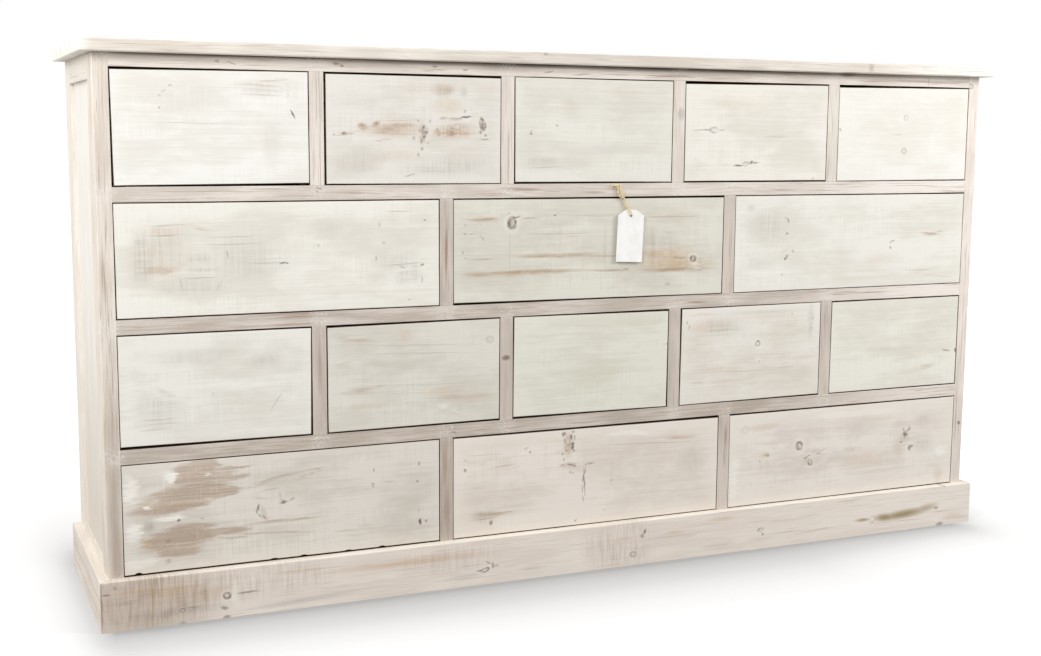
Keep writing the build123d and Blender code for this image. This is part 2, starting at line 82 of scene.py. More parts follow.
# Half widths in mm of the line where two boards meet and of the white daub at a joint, each with its core.
SEAM_HALF, SEAM_CORE, SEAM_DARK = 1.4, 0.5, 0.75
DAUB_HALF, DAUB_CORE = 22.0, 4.0
# Axis, first place and pitch in mm of the joints: up the posts, and along rows of five and of three drawers.
LEVELS = ("Z", 65.0, 189.5)
FIVE_BAYS, THREE_BAYS = ("X", -771.0, 308.4), ("X", -771.0, 514.0)
# Distances in mm so large that marks go right through a piece, boards share no grain and a face has no marks.
THROUGH, BOARD_APART, MARKS_AWAY = 1e5, (1730, 917, 2311), (9000, 0, 0)
# Stops from the middle of a knot outwards: its pale heart and rim, and its ring of bark.
KNOT_RIM = ((0.0, 0.5), (0.18, 0.35), (0.35, 0.0), (0.52, 0.0), (0.6, 0.3), (1.0, 0.0))
KNOT_BARK = ((0.0, 0.2), (0.14, 0.18), (0.24, 0.5), (0.34, 0.85), (0.42, 0.65), (0.54, 0.0))
# Painted shadow: a dark band along the top of the top rail and the front posts, where the overhanging top board casts
# shade.
SHADOW_UNDER_TOP = (SPLIT_AND_SHADOW, [(100, 832, 1000, 8.5, 0, 1.0), (-500, 832, 600, 5, 0, 1.0)])
RAIL_EASE, POST_EASE = 0.6 * MM, 0.8 * MM
EASE_ANGLE, SAME_PLACE = math.radians(40), 1e-6


def srgb(code):
    """Turns a colour written as sRGB hex to Blender's linear values."""
    channels = [int(code[i:i + 2], 16) / 255 for i in (0, 2, 4)]
    return (*[c / 12.92 if c <= 0.04045 else ((c + 0.055) / 1.055) ** 2.4 for c in channels], 1.0)


def add_node(tree, kind, sockets, out=0, **settings):
    """Adds a shader node with its settings and a value or a link for each socket, and gives one of its outputs."""
    node = tree.nodes.new("ShaderNode" + kind)
    for name, value in settings.items():
        setattr(node, name, value)
    for socket, value in sockets.items():
        if isinstance(value, bpy.types.NodeSocket):
            tree.links.new(value, node.inputs[socket])
        else:
            node.inputs[socket].default_value = value
    return node.outputs[out]


def new_material(name, roughness=0.5, gloss=0.5):
    """A material with one Principled shader; gives the material, its nodes and the shader's sockets."""
    material = bpy.data.materials.new(name)
    material.use_nodes = True
    shader = material.node_tree.nodes["Principled BSDF"].inputs
    shader["Roughness"].default_value = roughness
    shader["Specular IOR Level"].default_value = gloss
    return material, material.node_tree, shader


def in_millimetres(tree):
    """The place on the piece in millimetres of the shared frame, which its own coordinates give in metres."""
    metres = add_node(tree, "TexCoord", {}, out="Object")
    return add_node(tree, "VectorMath", {0: metres, "Scale": 1000.0}, operation="SCALE")


def with_grain(along, length, across):
    """Feature sizes of a pattern in mm: one length along the axis of the grain and one across it."""
    return [length if axis == along else across for axis in "XYZ"]


def pattern(tree, place, size, detail=2.0, seed=(0, 0, 0), out=0):
    """Cloudy noise whose features are about size millimetres long along X, Y and Z."""
    shifted = add_node(tree, "VectorMath", {0: place, 1: seed}, operation="ADD")
    scaled = add_node(tree, "VectorMath", {0: shifted, 1: [1 / s for s in size]}, operation="MULTIPLY")
    return add_node(tree, "TexNoise", {"Vector": scaled, "Scale": 1.0, "Detail": detail}, out=out)


def strayed(tree, place, size, reach, seed=(0, 0, 0)):
    """The place moved by noise of that feature size, by up to half of reach; all in mm."""
    stray = pattern(tree, place, size, seed=seed, out="Color")
    stray = add_node(tree, "VectorMath", {0: stray, 1: (0.5, 0.5, 0.5)}, operation="SUBTRACT")
    return add_node(tree, "VectorMath", {0: stray, 1: reach, 2: place}, operation="MULTIPLY_ADD")


def tint(tree, colour, share, shade):
    """Lays a shade over a colour by a share; each is a hex code or a colour of the tree."""
    colour, shade = (srgb(paint) if isinstance(paint, str) else paint for paint in (colour, shade))
    return add_node(tree, "Mix", {0: share, 6: colour, 7: shade}, out=2, data_type="RGBA")


def set_stops(ramp, stops):
    """Gives a colour ramp its stops in order, each a place and either a hex code or a level of grey."""
    elements = ramp.node.color_ramp.elements
    while len(elements) < len(stops):
        elements.new(0.5)
    for element, (position, shade) in zip(elements, stops):
        element.position = position
        element.color = srgb(shade) if isinstance(shade, str) else (shade, shade, shade, 1)


def mark_reach(tree, place, mark, spread=1.0):
    """Distance from the middle of a mark, which is 1 at the edge of its ellipse made larger by spread."""
    x, z, length, height, turn, _ = mark
    local = add_node(
        tree, "Mapping",
        {
            "Vector": place, "Location": (x, 0, z), "Rotation": (0, -math.radians(turn), 0),
            "Scale": (length * spread, THROUGH, height * spread),
        },
        vector_type="TEXTURE",
    )
    return add_node(tree, "VectorMath", {0: local}, out="Value", operation="LENGTH")


def soft_spots(tree, place, marks, core=0.3):
    """One mask from soft-edged ellipses, each with full strength inside its core share."""
    mask = 0.0
    for mark in marks:
        reach = mark_reach(tree, place, mark)
        spot = add_node(
            tree, "MapRange", {"Value": reach, "From Min": 1.0, "From Max": core, "To Max": mark[-1]},
            interpolation_type="SMOOTHSTEP",
        )
        mask = add_node(tree, "Math", {0: mask, 1: spot}, operation="MAXIMUM")
    return mask


def add_knots(tree, colour, place, knots):
    """Knots with a dark bark ring, worn off on one side, a pale heart and a whiter rim where the wash gathered."""
    patchy = pattern(tree, place, (11, 11, 9), detail=1)
    patchy = add_node(
        tree, "MapRange", {"Value": patchy, "From Min": 0.38, "From Max": 0.62, "To Min": 0.45, "To Max": 1.25}
    )
    for knot in knots:
        for shade, profile, worn in ((CHALK, KNOT_RIM, 1.0), (KNOT_RING, KNOT_BARK, patchy)):
            ring = add_node(tree, "ValToRGB", {0: mark_reach(tree, place, knot, spread=2.0)})
            set_stops(ring, profile)
            share = add_node(tree, "Math", {0: ring, 1: knot[-1]}, operation="MULTIPLY")
            share = add_node(tree, "Math", {0: share, 1: worn}, operation="MULTIPLY", use_clamp=True)
            colour = tint(tree, colour, share, shade)
    return colour


def by_board(tree, place, axis, first, pitch, count):
    """Gives each board of a row its own stretch of grain. Also returns the share of the dark line where two meet."""
    at = add_node(tree, "SeparateXYZ", {0: place}, out=axis)
    at = add_node(tree, "Math", {0: at, 1: first}, operation="SUBTRACT")
    at = add_node(tree, "Math", {0: at, 1: pitch}, operation="DIVIDE")
    number = add_node(tree, "Math", {0: at}, operation="FLOOR")
    off = add_node(tree, "Math", {0: at}, operation="FRACT")
    off = add_node(tree, "Math", {0: off, 1: 0.5}, operation="SUBTRACT")
    off = add_node(tree, "Math", {0: off}, operation="ABSOLUTE")
    line = add_node(
        tree, "MapRange",
        {"Value": off, "From Min": 0.5 - SEAM_HALF / pitch, "From Max": 0.5 - SEAM_CORE / pitch, "To Max": SEAM_DARK},
    )
    middle = add_node(tree, "Math", {0: at, 1: count / 2}, operation="SUBTRACT")
    middle = add_node(tree, "Math", {0: middle}, operation="ABSOLUTE")
    inner = add_node(tree, "Math", {0: middle, 1: count / 2 - 0.1}, operation="LESS_THAN")
    line = add_node(tree, "Math", {0: line, 1: inner}, operation="MULTIPLY")
    apart = add_node(tree, "VectorMath", {0: number, 1: BOARD_APART}, operation="MULTIPLY")
    return add_node(tree, "VectorMath", {0: place, 1: apart}, operation="ADD"), line


def washed_frame(
    name, along, tints, joints=(), spots=(), knots=(), dots=(), sawn=(), contrast=1.0, worn=0.5, front=None,
    boards=None, edge=None
):
    """Pine under a thin rubbed wash: matt, pink-grey streaks with the grain, browner where it has worn off, white
    specks where the brush ran dry. Fibres are drawn at 2 mm, twice their real width, so that they show. Joints are
    (axis, first place, pitch) in mm, where the brush left more white. Sawn is a list of soft patches with saw marks
    across the grain; front is the Y of the washed face, dark behind it. Boards is (axis, first place, pitch, count)
    of a row of boards; edge is the height at which the single marks end."""
    material, tree, shader = new_material(name, FRAME_ROUGH, FRAME_GLOSS)
    spot = place = in_millimetres(tree)
    if boards:
        place, seam = by_board(tree, place, *boards)
    if edge is not None:
        above = add_node(tree, "SeparateXYZ", {0: spot}, out="Z")
        above = add_node(tree, "Math", {0: above, 1: edge}, operation="GREATER_THAN")
        away = add_node(tree, "VectorMath", {0: above, 1: MARKS_AWAY}, operation="MULTIPLY")
        spot = add_node(tree, "VectorMath", {0: spot, 1: away}, operation="ADD")
    grain = strayed(tree, place, with_grain(along, 240, 60), (5, 5, 5))
    swept = strayed(tree, spot, with_grain(along, 240, 60), (5, 5, 5))
    rugged = strayed(tree, spot, (8, 8, 7), (4, 0, 3))
    growth = pattern(tree, grain, with_grain(along, 320, 3.6), detail=3)
    fibre = pattern(tree, grain, with_grain(along, 70, 1.7), detail=3)
    cloud = pattern(tree, place, with_grain(along, 120, 26), detail=4)
    brown = pattern(tree, grain, with_grain(along, 130, 3.4), detail=3, seed=(311, 97, 53))
    fleck = pattern(tree, grain, with_grain(along, 4, 2), detail=2, seed=(77, 15, 41))
    cover = add_node(tree, "Math", {0: cloud, 1: 1.2, 2: growth}, operation="MULTIPLY_ADD")
    cover = add_node(tree, "Math", {0: fibre, 1: 0.9, 2: cover}, operation="MULTIPLY_ADD")
    spread = 0.2 / contrast
    cover = add_node(tree, "MapRange", {"Value": cover, "From Min": 1.55 - spread, "From Max": 1.55 + spread})
    pale, mid = tints
    colour = tint(tree, mid, cover, pale)
    for shade, marks in spots:
        colour = tint(tree, colour, soft_spots(tree, swept, marks, 0.1), shade)
    streak = add_node(tree, "Math", {0: growth, 1: fibre}, operation="ADD")
    for texture, shade, low, high, most in (
        (streak, FRAME_STREAK, 1.04, 1.32, 0.65 * contrast), (brown, FRAME_BROWN, 0.58, 0.76, worn),
        (fleck, CHALK, 0.62, 0.74, 0.15 * contrast),
    ):
        share = add_node(
            tree, "MapRange", {"Value": texture, "From Min": low, "From Max": high, "To Max": most},
            interpolation_type="SMOOTHSTEP",
        )
        colour = tint(tree, colour, share, shade)
    if sawn:
        saw = pattern(tree, place, with_grain(along, 3.0, 40), detail=2)
        saw = add_node(tree, "Math", {0: saw, 1: cloud}, operation="ADD")
        saw = add_node(tree, "MapRange", {"Value": saw, "From Min": 0.86, "From Max": 1.26})
        saw = add_node(tree, "Math", {0: saw, 1: soft_spots(tree, place, sawn, 0.4)}, operation="MULTIPLY")
        colour = tint(tree, colour, saw, FRAME_BROWN)
    for axis, first, pitch in joints:
        at = add_node(tree, "SeparateXYZ", {0: grain}, out=axis)
        off = add_node(tree, "Math", {0: at, 1: first + pitch / 2}, operation="SUBTRACT")
        off = add_node(tree, "Math", {0: off, 1: pitch}, operation="FLOORED_MODULO")
        off = add_node(tree, "Math", {0: off, 1: pitch / 2}, operation="SUBTRACT")
        off = add_node(tree, "Math", {0: off}, operation="ABSOLUTE")
        daub = add_node(
            tree, "MapRange", {"Value": off, "From Min": DAUB_HALF, "From Max": DAUB_CORE},
            interpolation_type="SMOOTHSTEP",
        )
        flecks = add_node(tree, "MapRange", {"Value": fleck, "From Min": 0.42, "From Max": 0.66, "To Max": 0.4})
        daub = add_node(tree, "Math", {0: daub, 1: flecks}, operation="MULTIPLY")
        colour = tint(tree, colour, daub, CHALK)
    colour = add_knots(tree, colour, rugged, knots)
    if dots:
        colour = tint(tree, colour, soft_spots(tree, rugged, dots), KNOT_RING)
    # Painted shade: the faces behind the front, inside the gaps round the drawers, are darkened.
    if front is not None:
        back = add_node(tree, "SeparateXYZ", {0: place}, out="Y")
        start, end = (front + depth for depth in GAP_SHADE_DEPTHS)
        inner = add_node(tree, "MapRange", {"Value": back, "From Min": start, "From Max": end})
        colour = tint(tree, colour, inner, SEAM_AND_GAP_SHADE)
    if boards:
        colour = tint(tree, colour, seam, FRAME_BROWN)
    tree.links.new(colour, shader["Base Color"])
    bump = add_node(tree, "Bump", {"Height": streak, "Distance": GRAIN_DEPTH, "Strength": 0.5})
    tree.links.new(bump, shader["Normal"])
    return material


def finish_node(node, material, ease=None):
    """Gives a node of the frame its material in place of the one it came with, and edges eased as by sandpaper."""
    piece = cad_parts[node]
    piece.data.materials.clear()
    piece.data.materials.append(material)
    if ease:
        piece.modifiers.new("joined_faces", "WELD").merge_threshold = SAME_PLACE
        bevel = piece.modifiers.new("eased_edges", "BEVEL")
        bevel.width = ease
        bevel.segments = 2
        bevel.limit_method = "ANGLE"
        bevel.angle_limit = EASE_ANGLE
        bevel.harden_normals = False


rails = {
    # Painted light: the top rail's tints are lightened against the shade of the overhanging top, and the pale patches
    # at the right ends of the rails brighten them where less light reaches.
    "front_top_rail": {
        "tints": ("F1E8DF", "DFD4C9"), "joints": [FIVE_BAYS],
        "spots": [(FRAME_PAINTED_LIGHT, [(700, 822, 200, 60, 0, 0.5)]), (FRAME_BROWN, [(489, 831, 24, 7, 0, 0.6)]), SHADOW_UNDER_TOP],
        "dots": [
            (-608, 823, 5, 3, 0, 0.4), (-588, 821, 12, 1.2, -18, 0.5), (-432, 824, 8, 2.5, -10, 0.6),
            (-423, 821, 4, 3, 0, 0.6), (-276, 824, 6, 2, 0, 0.5), (-226, 820, 6, 2, 0, 0.5), (-85, 820, 12, 2, 10, 0.5),
            (-25, 818, 22, 2, 4, 0.4), (666, 821, 0.9, 12, 0, 0.5),
        ],
    },
    "front_upper_rail": {
        "tints": ("E8DFD6", "D4C9BE"), "joints": [FIVE_BAYS, THREE_BAYS],
        "spots": [
            ("F5EEE6", [(700, 633, 420, 60, 0, 0.9)]),
            (FRAME_BROWN, [(-130, 636, 60, 3, -2, 0.6), (0, 630, 30, 3, 0, 0.4)]),
        ],
        "dots": [(-460, 640, 8, 2, -10, 0.5), (-463, 635, 3, 2, 0, 0.5)],
    },
    "front_middle_rail": {
        "tints": ("DCD2C8", "C3B7AB"), "joints": [FIVE_BAYS, THREE_BAYS],
        "spots": [("F5EDE5", [(740, 444, 420, 60, 0, 0.9)]), (FRAME_BROWN, [(195, 443, 30, 3, -2, 0.7)])],
    },
    "front_lower_rail": {
        "tints": ("D6CBC0", "BBAFA3"), "joints": [FIVE_BAYS, THREE_BAYS],
        "spots": [("EBE2D9", [(740, 254, 440, 60, 0, 0.9)]), (FRAME_BROWN, [(-140, 252, 40, 3, 4, 0.5)])],
        "dots": [(-245, 252, 8, 2.5, 0, 0.4)],
    },
    "front_bottom_rail": {"tints": ("C9BEB3", "B0A498")},
}
posts = {
    "front_left_post": {
        "contrast": 1.4, "tints": ("EFE6DB", "DCD0C3"),
        "spots": [
            # Painted light: the outer face of the left post is lightened where the lamp at the left end falls on it.
            ("A8998C", [(-769, 90, 16, 430, 0, 0.7)]), (SIDE_PAINTED_LIGHT, [(-783.5, 680, 4, 760, 0, 0.9)]), SHADOW_UNDER_TOP,
        ],
    },
    "front_right_post": {
        "contrast": 1.3, "tints": ("FAF1E8", "E9DED3"),
        "spots": [("CFC3B7", [(771, 90, 60, 400, 0, 0.5)]), SHADOW_UNDER_TOP],
        "knots": [(763, 815, 6, 6, 0, 0.6)], "dots": [(773, 190, 5, 5, 0, 0.8)],
    },
    "rear_left_post": {"tints": ("F5F0E7", "EAE2D6"), "contrast": 0.6, "worn": 0.2},
    "rear_right_post": {"tints": ("F5F0E7", "EAE2D6"), "contrast": 0.6, "worn": 0.2},
}
dividers = {
    "dividers_row_1": {"tints": ("F0E8DE", "DFD5CA"), "dots": [(158, 758, 9, 15, 0, 0.3)]},
    # Painted light: the pale patches on the right divider of rows two and four, where less light reaches.
    "dividers_row_2": {
        "tints": ("D9CEC4", "C0B4A8"),
        "spots": [(FRAME_BROWN, [(-257, 540, 4, 70, 0, 0.8)]), ("DED4C9", [(257, 540, 60, 200, 0, 0.6)])],
    },
    "dividers_row_3": {
        "tints": ("DACFC5", "C5B9AE"), "spots": [(FRAME_BROWN, [(-461, 372, 5, 60, 0, 0.4)])],
        "dots": [(-155, 367, 10, 6, 0, 0.8)],
    },
    "dividers_row_4": {
        "tints": ("CBBFB4", "B2A598"),
        "spots": [
            ("DFD4CA", [(257, 120, 60, 200, 0, 0.8)]),
            (FRAME_BROWN, [(261, 205, 5, 32, 0, 0.6), (259, 168, 3, 26, 0, 0.5)]),
            (FRAME_BROWN, [(-260, 200, 7, 50, 0, 0.45), (-256, 128, 8, 50, 0, 0.45)]),
        ],
    },
}
for group, ease, shared in (
    (rails, RAIL_EASE, {"along": "X", "contrast": 1.3, "front": FACE}),
    (posts, POST_EASE, {"along": "Z", "joints": [LEVELS]}),
    (dividers, RAIL_EASE, {"along": "Z", "joints": [LEVELS], "front": FACE}),
):
    for node, looks in group.items():
        finish_node(node, washed_frame(f"washed_pine_{node}", **shared, **looks), ease)


# Sides: a panel on each side that floats in the grooves of its frame, with two rails tenoned between the posts.
# Panels have the white wash of the drawers, the left one a little darker near the floor, and rails are a shade pinker.
SIDE_WEAR = {"contrast": 0.6, "worn": 0.2}
PANEL_WEAR = {"contrast": 0.65, "worn": 0.12}
PANEL_SHADE = ("DCD3C5", [(-770, 60, 900, 460, 0, 0.8)])

side_pine = washed_frame("washed_pine_side_rails", "Y", ("F3EDE4", "E6DED2"), **SIDE_WEAR)
finish_node("side_rails", side_pine, POST_EASE)
for node in ("left_side_panel", "right_side_panel"):
    panel_pine = washed_frame(
        f"whitewashed_pine_{node}", "Z", ("F8F5EF", "EFEAE0"), spots=[PANEL_SHADE], **PANEL_WEAR
    )
    finish_node(node, panel_pine)


# Inside and back: runners, kickers and guides, back rails and tongued back boards of bare planed pine, glued and
# nailed, never washed. Inside the chest it stays pale and dry, warm yellow with brown growth lines.
PINE_LIGHT, PINE_MID, PINE_LINE = "DFC49C", "D0AE80", "B48A5A"
PINE_GLOSS, PLANED_DEPTH = 0.3, 0.2 * MM
BACK_BOARDS = ("X", -771.0, 128.5, 12)


def bare_pine(name, along, boards=None, turned=None):
    """Planed pine without a finish: warm straw colour, brown growth lines along the board, a dull sheen.
    Boards is (axis, first place, pitch, count) where the piece is a row of boards. Behind the place given by turned
    there is a board with its grain along X."""
    material, tree, shader = new_material(name, gloss=PINE_GLOSS)
    place = in_millimetres(tree)
    if turned:
        x = add_node(tree, "SeparateXYZ", {0: place}, out="X")
        y, z = x.node.outputs["Y"], x.node.outputs["Z"]
        crosswise = add_node(tree, "CombineXYZ", {"X": y, "Y": x, "Z": z})
        facing = add_node(tree, "TexCoord", {}, out="Normal")
        facing = add_node(tree, "SeparateXYZ", {0: facing}, out="X")
        facing = add_node(tree, "Math", {0: facing}, operation="ABSOLUTE")
        facing = add_node(tree, "Math", {0: facing, 1: 0.5}, operation="LESS_THAN")
        share = add_node(tree, "Math", {0: y, 1: turned}, operation="GREATER_THAN")
        share = add_node(tree, "Math", {0: share, 1: facing}, operation="MULTIPLY")
        place = add_node(tree, "Mix", {0: share, 4: place, 5: crosswise}, out=1, data_type="VECTOR")
    if boards:
        place, seam = by_board(tree, place, *boards)
    grain = strayed(tree, place, with_grain(along, 260, 45), (14, 14, 14))
    growth = pattern(tree, grain, with_grain(along, 420, 6))
    fibre = pattern(tree, grain, with_grain(along, 60, 0.9))
    cloud = pattern(tree, place, with_grain(along, 300, 60))
    tone = add_node(tree, "MapRange", {"Value": cloud, "From Min": 0.35, "From Max": 0.65})
    colour = tint(tree, PINE_MID, tone, PINE_LIGHT)
    line = add_node(
        tree, "MapRange", {"Value": growth, "From Min": 0.52, "From Max": 0.68, "To Max": 0.7},
        interpolation_type="SMOOTHSTEP",
    )
    colour = tint(tree, colour, line, PINE_LINE)
    if boards:
        colour = tint(tree, colour, seam, SEAM_AND_GAP_SHADE)
    tree.links.new(colour, shader["Base Color"])
    rough = add_node(
        tree, "MapRange", {"Value": fibre, "From Min": 0.3, "From Max": 0.7, "To Min": 0.55, "To Max": 0.75}
    )
    tree.links.new(rough, shader["Roughness"])
    bump = add_node(tree, "Bump", {"Height": fibre, "Distance": PLANED_DEPTH, "Strength": 0.3})
    tree.links.new(bump, shader["Normal"])
    return material


pine_deep = bare_pine("bare_pine_front_to_back", "Y")
for node in ("end_runners", "centre_runners", "drawer_guides"):
    finish_node(node, pine_deep)
finish_node("back_rails", bare_pine("bare_pine_lengthwise", "X"))
finish_node("back_boards", bare_pine("bare_pine_upright", "Z", boards=BACK_BOARDS))


# Top: three pine planks glued edge to edge, oversailing the front and the ends and screwed on from below, with edges
# rounded by hand and the same thin wash. It is paler towards the ends, painted light on both end faces and the right
# end. Marks are on the edges only.
TOP_PLANKS = ("Y", -175.0, 350 / 3, 3)
TOP_MARKS_END = 849.0
TOP_EASE = 0.6 * MM

top_pine = washed_frame(
    "washed_pine_top", "X", ("F1EAE0", "DDD3C7"),
    spots=[
        (FRAME_STREAK, [(528, 842, 9, 12, -10, 0.55)]),
        # Painted light on the right end and on both end faces.
        ("FDFAF2", [(770, 842, 270, 60, 0, 0.9), (-804, 842, 24, 60, 0, 1.0), (806, 842, 16, 60, 0, 1.0)]),
        (FRAME_BROWN, [(489, 832, 26, 3, 0, 0.5)]), ("D3C8BD", [(30, 842, 420, 60, 0, 0.35)]),
    ],
    dots=[(-97, 848, 5, 5, 0, 0.35)], boards=TOP_PLANKS, edge=TOP_MARKS_END,
)
finish_node("top_board", top_pine, TOP_EASE)


# Plinth: a sawn board along the front and one at each end, mitred at the corners and nailed to the frame,
# with saw marks across the grain, filled knots and worn streaks.
PLINTH_EASE = 1.0 * MM

plinth = {
    "plinth_front": {
        "along": "X",
        "spots": [
            # Of the first two patches, the pale one at the right end is painted light.
            ("C2B3A4", [(-745, 38, 190, 90, 0, 0.75)]), ("F1E8DF", [(620, 45, 420, 90, 0, 0.6)]),
            ("F3ECE0", [(0, 76, 1500, 4, 0, 0.8)]),
            ("CDB08C", [(-690, 52, 60, 12, 0, 0.5), (-740, 57, 60, 4, 0, 0.6), (-640, 42, 50, 14, 0, 0.3)]),
            ("D2B797", [
                (-320, 52, 190, 9, 0, 0.6), (-500, 60, 50, 6, 0, 0.35), (155, 48, 30, 5, 0, 0.4),
                (250, 62, 40, 6, 0, 0.5),
            ]),
            ("B7B2B0", [
                (-700, 20, 110, 7, 0, 0.5), (-500, 12, 130, 7, 2, 0.45), (-230, 17, 70, 6, 3, 0.35),
                (-110, 18, 40, 5, 0, 0.3),
            ]),
            ("B59A63", [(-723, 38, 1.6, 80, 0, 0.6)]), ("E2C7B8", [(760, 16, 34, 12, 0, 0.5), (60, 45, 40, 8, 0, 0.3)]),
            ("A08A62", [
                (640, 30, 88, 12, 4, 0.9), (600, 28, 40, 11, -2, 0.9), (550, 28, 24, 5, 0, 0.8),
                (690, 36, 44, 11, 10, 0.6),
            ]),
            (CHALK, [
                (571, 29, 6, 9, 0, 0.9), (-600, 36, 12, 30, 0, 0.4), (60, 25, 14, 30, 0, 0.3), (718, 14, 10, 8, 0, 0.4),
            ]),
        ],
        "knots": [
            (-613.5, 34, 6.5, 6, 0, 0.9), (-679.5, 20, 5, 4, 0, 0.6), (-196, 24, 9, 4.5, 10, 0.75),
            (75, 19, 8, 5.5, -10, 0.45), (329, 34, 8, 4, 20, 0.35), (571, 28, 7, 8, 0, 0.3),
        ],
        "dots": [
            (-582, 36, 24, 2.6, 1, 0.6), (-617, 16, 8, 4, -20, 0.6), (-614, 1, 9, 4, 10, 0.6), (-679, 1, 7, 4, 0, 0.4),
            (-206, 24, 7, 2.5, 0, 0.6), (-182, 30, 3, 8, 0, 0.6), (-190, 36, 8, 2, -25, 0.5), (-176, 29, 6, 2, 0, 0.5),
            (97, 56, 4, 7, -25, 0.75), (92, 49, 5, 5, 0, 0.55), (334, 26, 4, 3.5, 0, 0.6), (326, 36, 7, 2, 15, 0.5),
            (717, 35, 6, 4, 0, 0.55), (727, 3, 12, 6, 10, 0.55), (732, 75, 10, 2, -15, 0.4), (-788, 57, 8, 2, -5, 0.6),
            (-795, 38, 2, 60, 0, 0.5), (-645, 38, 1.6, 44, 0, 0.35), (-775, 66, 4, 5, 0, 0.4),
            (-664, 23, 18, 3, 0, 0.3),
        ],
        "sawn": [
            (-720, 44, 130, 60, 0, 0.55), (-560, 52, 150, 40, 0, 0.3), (50, 40, 90, 60, 0, 0.3),
            (-260, 48, 120, 30, 0, 0.25),
        ],
    },
    "plinth_left": {"along": "Y", "spots": [("CDB792", [(-796, 46, 40, 5, 0, 0.5), (-796, 22, 40, 4, 0, 0.4)])]},
    "plinth_right": {"along": "Y"},
}
for node, looks in plinth.items():
    pine = washed_frame(f"washed_pine_{node}", tints=("F1E8DE", "E1D6CB"), contrast=0.7, worn=0.15, **looks)
    finish_node(node, pine, PLINTH_EASE)


# Drawer boxes: two sides dovetailed into each front, a back housed between them and a bottom in grooves, all of the
# same bare pine. The grain of sides and bottom runs from front to back, that of the back board across.
DRAWER_BACK = 139.5

pine_drawer = bare_pine("bare_pine_drawer_box", "Y", turned=DRAWER_BACK)
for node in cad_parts:
    if node.startswith("drawer_box_"):
        finish_node(node, pine_drawer)


